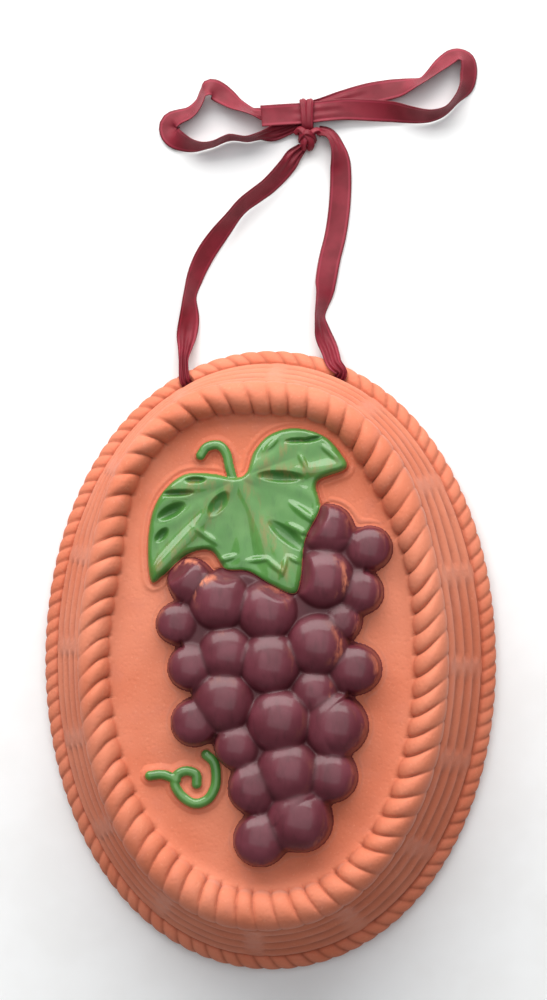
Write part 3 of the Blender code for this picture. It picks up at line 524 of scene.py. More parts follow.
def add_top_rope(skin):
    """The fat rope: half round, of plump strands with narrow grooves that lean least at both ends."""
    draw = np.random.default_rng(21)
    jitter = draw.uniform(-0.07, 0.07, TOP_ROPE_STRANDS)
    plump = draw.uniform(0.94, 1.05, TOP_ROPE_STRANDS)
    depth = draw.uniform(0.85, 1.2, TOP_ROPE_STRANDS)
    pitch = OVAL_LENGTH / TOP_ROPE_STRANDS
    half = TOP_ROPE_WIDTH / 2
    columns = TOP_ROPE_STRANDS * TOP_STRAND_POINTS
    upright = 0.3 + 0.7 * np.cos(2 * math.pi * (np.arange(columns) / columns)) ** 2
    rings = []
    for swing in np.linspace(math.pi - 0.16, -0.24, 28):
        across = 0.5 + 0.5 * math.cos(swing)
        lean = TOP_ROPE_LEAN / pitch * across**TOP_ROPE_SWEEP * upright
        turns, strand, part = strand_turns(TOP_ROPE_STRANDS, TOP_STRAND_POINTS, lean, jitter)
        bump = (4 * part * (1 - part)) ** 0.55
        fade = 1 - 0.72 * smoothstep(across, 0.4, 0.97)
        near = np.minimum(part, 1 - part)
        cut = np.where(part < 0.5, depth[strand], depth[(strand + 1) % TOP_ROPE_STRANDS])
        groove = TOP_ROPE_GROOVE * 1.12 * fade * cut * (1 - bump)
        swell = 1 + (plump[strand] - 1) * bump
        out = half + (half - groove) * math.cos(swing)
        rise = (TOP_ROPE_RISE * swell - groove) * math.sin(swing)
        # Painted shade along each groove between the strands
        mark = 0.75 * hump(near, 0, 0.06) * (1 - 0.8 * smoothstep(across, 0.45, 1.0))
        ends = np.abs(np.sin(2 * math.pi * turns)) ** 6 * hump(across, 0.05, 0.035)
        wash = np.maximum(smoothstep(across, 0.93, 1.0), ends)
        rings.append(add_ring(skin, turns, out, PANEL_HEIGHT + rise, mark, wash))
    join_rows(skin, rings)
    return rings[0], rings[-1]


def wall_line():
    """The side in section, as in the part's source: its two ends, and its ways down and outward."""
    top = np.array((TOP_ROPE_WIDTH - TOP_ROPE_GROOVE / 2, PANEL_HEIGHT - TOP_ROPE_GROOVE))
    seam = FOOT_ROPE_RADIUS * (math.sin(FOOT_ROPE_SEAM) - math.sin(FOOT_ROPE_UNDERCUT))
    foot = np.array((TOP_ROPE_WIDTH + WALL_RUN, seam - 0.55 * MM - SEAM_DROP))
    down = (foot - top) / np.linalg.norm(foot - top)
    return top, foot, down, np.array((-down[1], down[0]))


def add_wall(skin):
    """The basket weave: thin ridges of withies that dive in behind sixteen stakes."""
    top, foot, _, outward = wall_line()
    turns = np.arange(WALL_POINTS) / WALL_POINTS
    part = (WEAVE_STAKES * (turns + 0.0065)) % 1.0
    woven = smoothstep(part, 0.02, 0.14) * (1 - smoothstep(part, 0.8, 0.985))
    rings = []
    for v in np.linspace(0.0, 1.0, 45):
        end = float(smoothstep(v, 0.0, 0.05) * (1 - smoothstep(v, 0.95, 1.0)))
        sway = 0.07 * waver(turns, 7, 31) * end
        row = (WEAVE_ROWS * v + sway * math.sin(math.pi * v)) % 1.0 if 0 < v < 1 else 0 * turns
        ridge = np.clip(1 - np.abs(2 * row - 1), 0, 1) ** 1.7
        lift = 0.75 * STAKE_RELIEF * end * (1 - woven) + woven * (0.8 * WEAVE_RELIEF * ridge)
        place = top + (foot - top) * v
        wash = np.maximum(0.6 * woven * ridge**3, 0.45 * (1 - woven) * (0.5 + 0.5 * ridge)) * end
        # Painted shade in the channels between the ridges and along the wall's top edge
        mark = woven * (1 - ridge) ** 3 * 0.7 + 0.6 * hump(v, 0, 0.03)
        out, height = place[0] + outward[0] * lift, place[1] + outward[1] * lift
        rings.append(add_ring(skin, turns, out, height, mark, wash))
    join_rows(skin, rings)
    return rings[0], rings[-1]


def add_foot_rope(skin):
    draw = np.random.default_rng(5)
    jitter = draw.uniform(-0.08, 0.08, FOOT_ROPE_STRANDS)
    middle_out = TOP_ROPE_WIDTH + WALL_RUN + FOOT_ROPE_INSET
    middle_height = -FOOT_ROPE_RADIUS * math.sin(FOOT_ROPE_UNDERCUT)
    pitch = OVAL_LENGTH / FOOT_ROPE_STRANDS
    rings = []
    for share in np.linspace(0.0, 1.0, 16):
        swing = FOOT_ROPE_SEAM + (FOOT_ROPE_UNDERCUT - FOOT_ROPE_SEAM) * share
        lean = FOOT_ROPE_LEAN / pitch * share
        turns, _, part = strand_turns(FOOT_ROPE_STRANDS, FOOT_STRAND_POINTS, lean, jitter)
        bump = (4 * part * (1 - part)) ** 0.7
        radius = FOOT_ROPE_RADIUS - FOOT_ROPE_GROOVE * (1 - bump)
        height = np.maximum(middle_height + radius * math.sin(swing), 0.0) if share < 1 else 0.0
        # Painted shade along each groove between the strands
        mark = 0.8 * hump(np.minimum(part, 1 - part), 0, 0.12)
        rings.append(add_ring(skin, turns, middle_out + radius * math.cos(swing), height, mark))
    join_rows(skin, rings)
    return rings[0], rings[-1]


def add_hollow(skin):
    """The open hollow, from its rim at the sole up to its ceiling under the panel."""
    _, foot, down, outward = wall_line()
    inner = foot - outward * CLAY_THICKNESS
    ceiling = PANEL_HEIGHT - CLAY_THICKNESS
    rim = inner + down * (inner[1] / -down[1])
    corner = inner + down * ((inner[1] - ceiling) / -down[1])
    shoulder = corner + down * CAVITY_FILLET
    level = corner + np.array((-CAVITY_FILLET, 0.0))
    places = [rim + (shoulder - rim) * t for t in np.linspace(0.0, 1.0, 9)[:-1]]
    for t in np.linspace(0.0, 1.0, 7):
        places.append((1 - t) ** 2 * shoulder + 2 * t * (1 - t) * corner + t * t * level)
    turns = np.arange(HOLLOW_POINTS) / HOLLOW_POINTS
    rings = []
    for i, place in enumerate(places):
        fade = math.sin(math.pi * i / len(places)) ** 2
        uneven = 0.25 * MM * waver(turns, 5 + i % 3, 40 + i // 3) * fade
        rings.append(add_ring(skin, turns, place[0] + uneven, place[1]))
    join_rows(skin, rings)
    middle = add_middle(skin, HOLLOW_POINTS, CLAY_THICKNESS, (0.78, 0.6, 0.42, 0.24, 0.08))
    join_rows(skin, [rings[-1]] + middle)
    add_centre(skin, middle[-1], CLAY_THICKNESS, False)
    return rings[0]


def cut_ribbon_holes(basket):
    collection = bpy.data.collections.new("ribbon_holes")
    bpy.context.scene.collection.children.link(collection)
    for name, reach in (("left_hole", -LEFT_HOLE_REACH), ("right_hole", RIGHT_HOLE_REACH)):
        mouth, axis = hole_frame(reach)
        bm = bmesh.new()
        bmesh.ops.create_cone(
            bm, cap_ends=True, segments=32, radius1=HOLE_RADIUS, radius2=HOLE_RADIUS, depth=3 * CLAY_THICKNESS
        )
        turn = Vector(axis).to_track_quat("Z", "Y").to_matrix().to_4x4()
        bmesh.ops.transform(bm, matrix=Matrix.Translation(mouth) @ turn, verts=bm.verts)
        mesh = bpy.data.meshes.new(name)
        bm.to_mesh(mesh)
        bm.free()
        collection.objects.link(bpy.data.objects.new(name, mesh))
    modifier = basket.modifiers.new("ribbon_holes", "BOOLEAN")
    modifier.operation = "DIFFERENCE"
    modifier.operand_type = "COLLECTION"
    modifier.collection = collection
    modifier.solver = "EXACT"
    settle(basket)
    for cutter in list(collection.objects):
        bpy.data.objects.remove(cutter, do_unlink=True)
    bpy.data.collections.remove(collection)


def settle(piece):
    """Applies a piece's modifiers."""
    seen = bpy.context.evaluated_depsgraph_get()
    mesh = bpy.data.meshes.new_from_object(piece.evaluated_get(seen), depsgraph=seen)
    piece.modifiers.clear()
    old = piece.data
    piece.data = mesh
    mesh.name = old.name
    bpy.data.meshes.remove(old)
    piece.data.shade_smooth()


def make_basket(material):
    skin = new_skin()
    middle = add_middle(skin, PANEL_POINTS, 0.0, (0.06, 0.2, 0.34, 0.48, 0.6, 0.72, 0.8, 0.86, 0.9))
    add_centre(skin, middle[0], 0.0, True)
    turns = np.arange(PANEL_POINTS) / PANEL_POINTS
    for out, lift in ((-2.9, 0.02), (-1.9, 0.12), (-1.2, 0.3), (-0.6, 0.55)):
        x, y = casting_points(oval_angle(turns), out * MM)
        middle.append(add_ring(skin, turns, out * MM, panel_top(x, y) + lift * MM))
    join_rows(skin, middle)
    rope_inner, rope_outer = add_top_rope(skin)
    join_unlike(skin, middle[-1], rope_inner)
    wall_top, wall_foot = add_wall(skin)
    join_unlike(skin, rope_outer, wall_top)
    foot_top, foot_sole = add_foot_rope(skin)
    join_unlike(skin, wall_foot, foot_top)
    rim = add_hollow(skin)
    join_unlike(skin, foot_sole, rim)
    marks = {"groove": np.concatenate(skin["groove"]), "wash": np.concatenate(skin["wash"])}
    basket = make_piece("basket_casting", np.concatenate(skin["points"]), skin["faces"], material, marks)
    cut_ribbon_holes(basket)
    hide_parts("mold")
    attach(basket, "root")


# The relief on the panel: each part is a height over the panel, drawn on a fine grid

def on_panel(across, along):
    return np.array((across * PANEL_HALF_WIDTH, along * PANEL_HALF_LENGTH)) / 100


def panel_line(points, step, closed=False):
    return smooth_points([on_panel(*point) for point in points], step, closed)


def distance_to_line(x, y, line, closed=False):
    """How far each place is from a line of points on the panel."""
    ends = np.vstack((line, line[:1])) if closed else line
    nearest = np.full(x.shape, np.inf)
    for (ax, ay), (bx, by) in zip(ends, ends[1:]):
        dx, dy = bx - ax, by - ay
        t = np.clip(((x - ax) * dx + (y - ay) * dy) / (dx * dx + dy * dy + 1e-18), 0, 1)
        nearest = np.minimum(nearest, np.hypot(x - ax - t * dx, y - ay - t * dy))
    return nearest


def depth_inside(x, y, outline):
    """How far each place is inside a closed outline. Outside it the number is below nought."""
    inside = np.zeros(x.shape, bool)
    for (ax, ay), (bx, by) in zip(outline, np.roll(outline, -1, axis=0)):
        crosses = (ay > y) != (by > y)
        with np.errstate(divide="ignore", invalid="ignore"):
            inside ^= crosses & (x < (bx - ax) * (y - ay) / (by - ay) + ax)
    distance = distance_to_line(x, y, outline, closed=True)
    return np.where(inside, distance, -distance)


def soft_top(heights, sharpness):
    """The highest of some heights, blended softly where two are alike, and how mixed it is there."""
    stack = np.stack(heights)
    top = stack.max(axis=0)
    weights = np.exp((stack - top) * sharpness)
    total = weights.sum(axis=0)
    return top + np.log(total) / sharpness, 1 - 1 / total, stack.argmax(axis=0)


def make_relief(name, low, high, step, shape, material):
    """A relief between two corners of the panel. shape gives the height over it and its marks."""
    x, y = np.meshgrid(np.arange(low[0], high[0], step), np.arange(low[1], high[1], step), indexing="ij")
    lift, marks = shape(x, y)
    solid = lift > -0.12 * MM
    cells = solid[:-1, :-1] | solid[1:, :-1] | solid[:-1, 1:] | solid[1:, 1:]
    number = np.arange(x.size).reshape(x.shape)
    i, j = np.nonzero(cells)
    faces = np.stack((number[i, j], number[i + 1, j], number[i + 1, j + 1], number[i, j + 1]), axis=1)
    used, faces = np.unique(faces, return_inverse=True)
    faces = faces.reshape(-1, 4)
    x, y, lift = x.ravel()[used], y.ravel()[used], lift.ravel()[used]
    points = np.stack((x, y, panel_top(x, y) + np.maximum(lift, -0.5 * MM)), axis=1)
    marks = {mark: values.ravel()[used] for mark, values in marks.items()}
    piece = make_piece(name, points, faces, material, marks)
    bm = bmesh.new()
    bm.from_mesh(piece.data)
    rim = [edge for edge in bm.edges if edge.is_boundary]
    grown = bmesh.ops.extrude_edge_only(bm, edges=rim)["geom"]
    for vert in grown:
        if isinstance(vert, bmesh.types.BMVert):
            vert.co.z = PANEL_HEIGHT - CLAY_THICKNESS / 2
    bmesh.ops.holes_fill(bm, edges=[edge for edge in bm.edges if edge.is_boundary], sides=0)
    bmesh.ops.recalc_face_normals(bm, faces=bm.faces)
    bm.to_mesh(piece.data)
    bm.free()
    piece.data.shade_smooth()
    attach(piece, "root")


def grape_places():
    for across, along, radius in GRAPES:
        yield on_panel(across, along), radius * PANEL_HALF_WIDTH / 100


def falling(height, away, low, high):
    """Runs from a height down to the floor while away goes from low to high."""
    return height - (height + GRAPE_FLOOR) * smoothstep(away, low, high)


def bunch_height(x, y):
    """The bunch over the panel: grapes, the bed between them and how far outside them each place is."""
    heights = []
    reaches = []
    for (centre, radius), extra in zip(grape_places(), GRAPE_LIFTS):
        away = np.hypot(x - centre[0], y - centre[1])
        wide = GRAPE_SPREAD * radius
        stand = GRAPE_STAND + (extra - 0.6) * MM
        rise = GRAPE_FLATTENING * radius + 0.5 * MM
        dome = stand + rise * np.sqrt(np.clip(1 - (away / wide) ** 2, 0, 1))
        flank = falling(stand, away, wide, wide + 1.8 * MM)
        heights.append(np.where(away < wide, dome, flank))
        reaches.append(GRAPE_REACH * radius - away)
    outer = np.array([on_panel(across, along) for across, along, _ in GRAPES[:OUTER_GRAPES]])
    inside = depth_inside(x, y, outer)
    heights.append(falling(GRAPE_BED, -inside, 0.0, 1.5 * MM))
    lift, mixed, first = soft_top(heights, 1.5 / MM)
    beyond = np.minimum(-soft_top(reaches, 0.95 / MM)[0], -inside)
    edge = falling(GRAPE_SHOULDER, beyond, -0.9 * MM, 1.4 * MM)
    edge = np.where(beyond < -0.9 * MM, edge - 1.1 * (beyond + 0.9 * MM), edge)
    return -soft_top([-lift, -edge], 2.5 / MM)[0], mixed, first, beyond


def leaf_depth(x, y):
    return depth_inside(x, y, panel_line(LEAF_EDGE, 0.8 * MM, closed=True))


def leaf_level(x, y):
    """The leaf's own level over the panel: low at its back lobes and high where it lies on the bunch."""
    start, end = on_panel(-20.0, 60.0), on_panel(22.0, 30.0)
    ahead = (end - start) / np.linalg.norm(end - start)
    reach = ((x - start[0]) * ahead[0] + (y - start[1]) * ahead[1]) / np.linalg.norm(end - start)
    return LEAF_WEB + 2.9 * MM * smoothstep(reach, 0.1, 0.95)


def bunch_shape(x, y):
    lift, mixed, first, beyond = bunch_height(x, y)
    inside = leaf_depth(x, y)
    tucked = leaf_level(x, y) - 1.2 * MM - np.where(inside > 0, 0.5, 1.3) * inside
    lift = -soft_top([-lift, -tucked], 3.0 / MM)[0]
    rough = hump(x, 26 * MM, 9 * MM) * hump(y, 45 * MM, 9 * MM)
    halo = (0.1 + 0.4 * rough) * MM * hump(beyond, 1.7 * MM, 0.6 * MM)
    worn = 0 * x
    for k, ((centre, radius), (strength, direction)) in enumerate(zip(grape_places(), GRAPE_WEAR)):
        away = np.hypot(x - centre[0], y - centre[1]) / (GRAPE_REACH * radius)
        turned = np.arctan2(y - centre[1], x - centre[0]) - math.radians(direction)
        arc = hump(away, 0.86, 0.13) * np.clip(np.cos(turned), 0, 1) ** 2.5
        worn = np.maximum(worn, np.where(first == k, strength * arc, 0.0))
    marks = {
        "paint": smoothstep(-beyond, -0.66 * MM, -0.3 * MM),
        # Painted shade between the grapes and on the bed among the outer ones, which also stands for paint
        # pooled in the valleys
        "pooled_paint_and_shade": np.clip(mixed * 2 + (first == len(GRAPE_LIFTS)), 0, 1),
        "worn": worn,
        "wash": 0.3 * hump(beyond, 1.35 * MM, 0.5 * MM),
        # Painted shade in the crease at the foot of the bunch
        "groove": 0.4 * hump(beyond, 0.95 * MM, 0.3 * MM),
    }
    ground = np.where(beyond < 3.2 * MM, -0.06 * MM, -1.0 * MM)
    return np.maximum(lift, ground + halo), marks


def long_bump(x, y, place, length, width, degrees):
    """A smooth oblong bump of height one, as long and wide as it looks."""
    turn = math.radians(degrees)
    dx, dy = x - place[0], y - place[1]
    along = (dx * math.cos(turn) + dy * math.sin(turn)) / (length / 2)
    across = (dy * math.cos(turn) - dx * math.sin(turn)) / (width / 2)
    return np.exp(-((along**2 + across**2) ** 1.5))


def stalk_shape(x, y, line, crest):
    """A round painted stalk on a low clay ridge, and how far each place is from its middle line."""
    away = distance_to_line(x, y, line)
    tube = crest - STALK_RADIUS + np.sqrt(np.clip(STALK_RADIUS**2 - away**2, 0, None))
    tube = np.where(away < STALK_RADIUS, tube, -1.0 * MM)
    ridge = 1.1 * MM * np.exp(-((away / (1.9 * STALK_RADIUS)) ** 4)) - 0.3 * MM
    return soft_top([tube, ridge], 5.0 / MM)[0], away


def leaf_shape(x, y):
    inside = leaf_depth(x, y)
    level = leaf_level(x, y)
    start = on_panel(*LEAF_STALK)
    ribs = 0 * x
    for tip in LEAF_TIPS:
        line = np.array((start, on_panel(*tip)))
        ribs = np.maximum(ribs, hump(distance_to_line(x, y, line), 0, 2.3 * MM))
    fan = np.arctan2(y - start[1], x - start[0])
    away = np.hypot(x - start[0], y - start[1])
    ruffle = np.sin(19 * fan + 0.9 * np.sin(5 * fan)) * smoothstep(away, 8 * MM, 22 * MM)
    surface = level + 0.7 * MM * ribs + 0.2 * MM * ruffle * smoothstep(inside, 0.5 * MM, 3 * MM)
    carved = 0 * x
    for px, py, length, width, degrees, height in LEAF_MARKS:
        bump = long_bump(x, y, (px * MM, py * MM), 1.15 * length * MM, 1.25 * width * MM, degrees)
        rim = hump(np.sqrt(-np.log(bump + 1e-9)), 1.25, 0.08**0.5) if height < 0 else 0.0
        surface = surface + (1.5 * height * bump - 0.22 * height * rim) * MM
        if height < 0:
            carved = np.maximum(carved, bump)
    from_bunch = bunch_height(x, y)[3]
    share = 0.3 + 0.5 * smoothstep(from_bunch, 0.8 * MM, -0.4 * MM)
    edge = np.sqrt(np.clip(1 - (1 - np.clip(inside / LEAF_BEVEL, 0, 1)) ** 2, 0, 1))
    foot = -1.0 * MM + (1.0 * MM + share * surface) * smoothstep(inside, -0.7 * MM, 0.0)
    leaf = np.where(inside > 0, surface * (share + (1 - share) * edge), foot)
    halo = 0.5 * MM * hump(inside, -1.6 * MM, 0.7 * MM) - 0.06 * MM
    halo = np.where((inside > -3.8 * MM) & (from_bunch > 0.6 * MM), halo, -1.0 * MM)
    stem, from_stem = stalk_shape(x, y, panel_line(STEM_LINE, 0.5 * MM), 2.7 * MM)
    lift, _, _ = soft_top([leaf, stem, halo], 5.0 / MM)
    painted = np.maximum(inside, 1.4 * MM - from_stem)
    marks = {
        "paint": smoothstep(painted, -0.05 * MM, 0.25 * MM),
        # Painted shade in the leaf's dents
        "pooled_paint_and_shade": np.clip(carved, 0, 1),
        "worn": 0.6 * ribs * smoothstep(inside, 0, 3 * MM),
        "wash": 0.2 * hump(painted, -0.9 * MM, 0.7 * MM),
        # Painted shade in the crease at the foot of the leaf and the stem
        "groove": 0.5 * hump(painted, -0.15 * MM, 0.2 * MM),
    }
    return lift, marks


def tendril_shape(x, y):
    lines = [panel_line(line, 0.4 * MM) for line in (TENDRIL_LINE, TENDRIL_BRANCH)]
    shapes = [stalk_shape(x, y, line, 2.3 * MM) for line in lines]
    lift, _, _ = soft_top([shape[0] for shape in shapes], 5.0 / MM)
    painted = 1.42 * MM - np.minimum(shapes[0][1], shapes[1][1])
    marks = {
        "paint": smoothstep(painted, -0.05 * MM, 0.2 * MM),
        "pooled_paint_and_shade": 0 * x,
        "worn": 0 * x,
        "wash": 0.2 * hump(painted, -0.6 * MM, 0.6 * MM),
        # Painted shade in the crease at the foot of the tendril
        "groove": 0.5 * hump(painted, -0.1 * MM, 0.2 * MM),
    }
    return lift, marks


def add_relief(grapes, leaf):
    make_relief("grape_bunch", on_panel(-82, -103), on_panel(102, 76), 0.36 * MM, bunch_shape, grapes)
    make_relief("vine_leaf", on_panel(-92, 18), on_panel(70, 107), 0.3 * MM, leaf_shape, leaf)
    make_relief("tendril", on_panel(-92, -72), on_panel(-20, -34), 0.25 * MM, tendril_shape, leaf)


# The ribbons

def ribbon_stations(route):
    stations = []
    for x, beyond, *middle, degrees in route:
        lift, share = middle or LYING
        roll = math.radians(degrees)
        width = RIBBON_WIDTH * share
        half = width / 2 * abs(math.sin(roll)) + RIBBON_THICKNESS / 2 * abs(math.cos(roll))
        stations.append((x * MM, TOP_END + beyond * MM, lift * MM + half, width, roll))
    return stations


def hole_stations(reach):
    mouth, axis = hole_frame(reach)
    return [(*(mouth + axis * out), GATHERED_WIDTH, 0.0) for out in HOLE_STATIONS]


def make_ribbon(name, stations, material, seed):
    """A thin strip with selvedges. It curls a little across, and folds up where it is gathered."""
    route = smooth_points(stations, 0.9 * MM)
    centres, width, roll = route[:, :3], route[:, 3:4], route[:, 4:5]
    ahead = unit(np.gradient(centres, axis=0))
    level = unit(np.cross(ahead, UP))
    across = level * np.cos(roll) + np.cross(level, ahead) * np.sin(roll)
    face = unit(np.cross(across, ahead))
    run = np.concatenate(([0.0], np.cumsum(np.linalg.norm(np.diff(centres, axis=0), axis=1))))
    share = width[:, 0] / RIBBON_WIDTH
    spread = np.linspace(-1.0, 1.0, 17)
    fold = 0.1 * RIBBON_WIDTH * np.sqrt(np.clip(1 - share**2, 0, 1))
    curl = (0.16 + 0.12 * waver(run / run[-1], run[-1] / (26 * MM), seed)) * MM * share
    drop = curl[:, None] * (spread**2 - 0.4) - fold[:, None] * np.cos(2.6 * math.pi * spread)
    selvedge = hump(np.abs(spread), 0.95, 0.05)
    skin = RIBBON_THICKNESS / 2 * (0.75 + 0.5 * selvedge)
    rings = []
    for side in (1, -1):
        order = slice(None) if side > 0 else slice(None, None, -1)
        lie = across[:, None] * (spread[order] * width / 2)[:, :, None]
        rise = face[:, None] * (drop[:, order] + side * skin[order])[:, :, None]
        rings.append(centres[:, None] + lie + rise)
    points = np.concatenate(rings, axis=1)
    around = points.shape[1]
    u = np.concatenate((spread, spread[::-1])) / 2 + 0.5
    uvs = np.stack(np.broadcast_arrays(u[None, :], run[:, None] / RIBBON_WIDTH), axis=-1)
    faces = tube_faces(len(points), around)
    ribbon = make_piece(name, points.reshape(-1, 3), faces, material, uvs=uvs.reshape(-1, 2))
    return ribbon, centres, float(run[-1])


def make_bundle(name, keys, material, around=20, closed=False):
    """A gathered stretch of ribbon: a tube with creases along it. keys: x, y, z, radius, flatness."""
    route = smooth_points(keys, 0.35 * MM, closed)
    centres, radius, flat = route[:, :3], route[:, 3:4], route[:, 4:5]
    ahead = unit(np.gradient(centres, axis=0))
    if closed:
        ahead = unit(np.roll(centres, -1, axis=0) - np.roll(centres, 1, axis=0))
    inward = unit(centres.mean(axis=0) - centres)
    side = unit(np.cross(ahead, inward))
    out = unit(np.cross(side, ahead))
    swing = np.linspace(0, 2 * math.pi, around, endpoint=False)
    creased = radius * (1 + 0.13 * np.cos(5 * swing) + 0.06 * np.cos(9 * swing + 1.0))
    ring = (
        side[:, None] * (creased * np.cos(swing))[:, :, None]
        + out[:, None] * (creased * flat * np.sin(swing))[:, :, None]
    )
    points = (centres[:, None] + ring).reshape(-1, 3)
    run = np.arange(len(centres)) * 0.05
    uvs = np.stack(np.broadcast_arrays(swing[None, :] / (2 * math.pi), run[:, None]), axis=-1)
    faces = tube_faces(len(centres), around, closed)
    return make_piece(name, points, faces, material, uvs=uvs.reshape(-1, 2))


def waist_turn(name, x_top, x_bottom, material):
    """One turn of gathered ribbon round the waist of the bow."""
    keys = []
    for swing in np.arange(16) * math.pi / 8:
        y, z = (np.sign(way) * abs(way) ** 0.7 for way in (math.cos(swing), math.sin(swing)))
        x = x_top + (x_bottom - x_top) * (0.5 - 0.5 * math.cos(swing))
        keys.append((x * MM, WAIST_Y + 4.2 * MM * y, (2.45 + 1.75 * z) * MM, 1.0 * MM, 0.62))
    return make_bundle(name, keys, material, closed=True)


def make_knot(material):
    """The small hard knot under the waist: short gathered stretches that cross over each other."""
    base = WAIST_Y - 7.0 * MM
    strands = {
        "knot_left": (
            (8.1, 1.6, 2.2), (9.4, 2.4, 3.3), (11.4, 0.4, 3.9), (12.6, -1.8, 2.9), (12.0, -2.9, 1.4)),
        "knot_right": (
            (15.6, 1.3, 1.8), (14.2, 2.2, 2.9), (12.2, 1.0, 3.3), (10.6, -1.2, 3.2), (10.2, -3.0, 1.5)),
        "knot_over": (
            (9.4, -0.4, 1.2), (10.0, 0.6, 3.2), (11.4, 1.2, 4.4), (12.8, 0.5, 3.2), (13.3, -0.6, 1.2)),
    }
    made = []
    for name, points in strands.items():
        keys = [(x * MM, base + y * MM, z * MM, 1.12 * MM, 0.78) for x, y, z in points]
        made.append(make_bundle(name, keys, material))
    return made


def add_ribbons(material):
    stations = ribbon_stations(HANGING_LEFT) + hole_stations(-LEFT_HOLE_REACH)
    stations += ribbon_stations(HOLLOW_CROSSING)
    stations += hole_stations(RIGHT_HOLE_REACH)[::-1] + ribbon_stations(HANGING_RIGHT)
    hanging, path, length = make_ribbon("hanging_strands", stations, material, 3)
    bow, bow_path, bow_length = make_ribbon("bow_loops", ribbon_stations(BOW_ROUTE), material, 8)
    knot = [waist_turn("waist_turn_left", 10.1, 11.0, material)]
    knot += [waist_turn("waist_turn_right", 12.3, 12.0, material)] + make_knot(material)
    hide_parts("hanging_ribbon")
    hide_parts("bow_ribbon")
    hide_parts("ribbon_knot")
    for piece in [hanging, bow] + knot:
        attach(piece, "root")


# Materials

def feed(socket, value):
    """Sets a socket to a value, or to what another node puts out."""
    if isinstance(value, bpy.types.NodeSocket):
        socket.id_data.links.new(value, socket)
    else:
        socket.default_value = value


def fill(node, inputs):
    for name, value in inputs.items():
        feed(node.inputs[name], value)


def place(tree, kind, inputs, **settings):
    """What a new node puts out. Its inputs are set by name."""
    node = tree.nodes.new(kind)
    for setting, value in settings.items():
        setattr(node, setting, value)
    fill(node, inputs)
    return node.outputs


def calc(operation, *values):
    """Arithmetic on numbers, of which at least one comes out of a node."""
    tree = next(value.id_data for value in values if isinstance(value, bpy.types.NodeSocket))
    node = tree.nodes.new("ShaderNodeMath")
    node.operation = operation
    for socket, value in zip(node.inputs, values):
        feed(socket, value)
    return node.outputs[0]


def times(first, second):
    return calc("MULTIPLY", first, second)


def between(value, low, high, first=0.0, last=1.0):
    """Runs smoothly from first to last while a value goes from low to high."""
    inputs = {"Value": value, "From Min": low, "From Max": high, "To Min": first, "To Max": last}
    return place(value.id_data, "ShaderNodeMapRange", inputs, interpolation_type="SMOOTHSTEP")[0]


def blend(share, first, second):
    """Blends two colours."""
    node = share.id_data.nodes.new("ShaderNodeMix")
    node.data_type = "RGBA"
    for number, value in ((0, share), (6, first), (7, second)):
        feed(node.inputs[number], (*value, 1.0) if isinstance(value, tuple) else value)
    return node.outputs[2]


def coords_of(tree, kind="Object"):
    return place(tree, "ShaderNodeTexCoord", {})[kind]


def noise(coords, scale, detail=2.0, roughness=0.5):
    inputs = {"Vector": coords, "Scale": scale, "Detail": detail, "Roughness": roughness}
    return place(coords.id_data, "ShaderNodeTexNoise", inputs)["Fac"]


def normal_of(height, strength, distance):
    inputs = {"Height": height, "Strength": strength, "Distance": distance}
    return place(height.id_data, "ShaderNodeBump", inputs)[0]


def mark_of(tree, name):
    """The values of a mark that the mesh carries."""
    return place(tree, "ShaderNodeAttribute", {}, attribute_name=name)["Fac"]


def new_material(name):
    material = bpy.data.materials.new(name)
    material.use_nodes = True
    return material, material.node_tree, material.node_tree.nodes["Principled BSDF"]


def new_group(name, inputs, outputs):
    """A node group that takes and gives plain numbers, apart from what is called Color."""
    group = bpy.data.node_groups.new(name, "ShaderNodeTree")
    for titles, side in ((inputs, "INPUT"), (outputs, "OUTPUT")):
        for title in titles:
            kind = "NodeSocketColor" if title == "Color" else "NodeSocketFloat"
            group.interface.new_socket(title, in_out=side, socket_type=kind)
    return group, group.nodes.new("NodeGroupInput").outputs, group.nodes.new("NodeGroupOutput")


def make_clay_group():
    """Bare fired clay: patchy terracotta with fine pits, pale with old slip, and painted shade in its
    grooves.
    """
    group, given, result = new_group("bare_clay", ("Groove_Shade", "Slip"), ("Color", "Roughness", "Height"))
    coords = coords_of(group)
    broad = noise(coords, 28.0, 3.0, 0.55)
    patch = noise(coords, 160.0, 3.0, 0.6)
    speck = noise(coords, 900.0, 2.0, 0.6)
    color = blend(between(broad, 0.3, 0.7), CLAY_LIGHT, CLAY_DEEP)
    color = blend(between(patch, 0.5, 0.72, 0.0, 0.35), color, CLAY_ROSY)
    color = blend(between(speck, 0.56, 0.78, 0.0, 0.22), color, CLAY_PALE)
    slip = times(given["Slip"], between(patch, 0.34, 0.62, 0.35, 1.0))
    color = blend(times(slip, 0.62), color, CLAY_SLIP)
    # Painted shade: darker clay in the grooves and creases that the mesh marks
    groove = times(given["Groove_Shade"], between(patch, 0.3, 0.7, 0.55, 0.9))
    color = blend(groove, color, CLAY_GROOVE_SHADE)
    pits = place(group, "ShaderNodeTexVoronoi", {"Vector": coords, "Scale": 620.0})["Distance"]
    rough = times(noise(coords, 1500.0, 2.0, 0.6), 0.6)
    height = calc("MULTIPLY_ADD", between(pits, 0.05, 0.5), 0.5, rough)
    height = calc("MULTIPLY_ADD", patch, 1.6, height)
    fill(result, {"Color": color, "Roughness": between(speck, 0.3, 0.7, 0.62, 0.8), "Height": height})
    return group


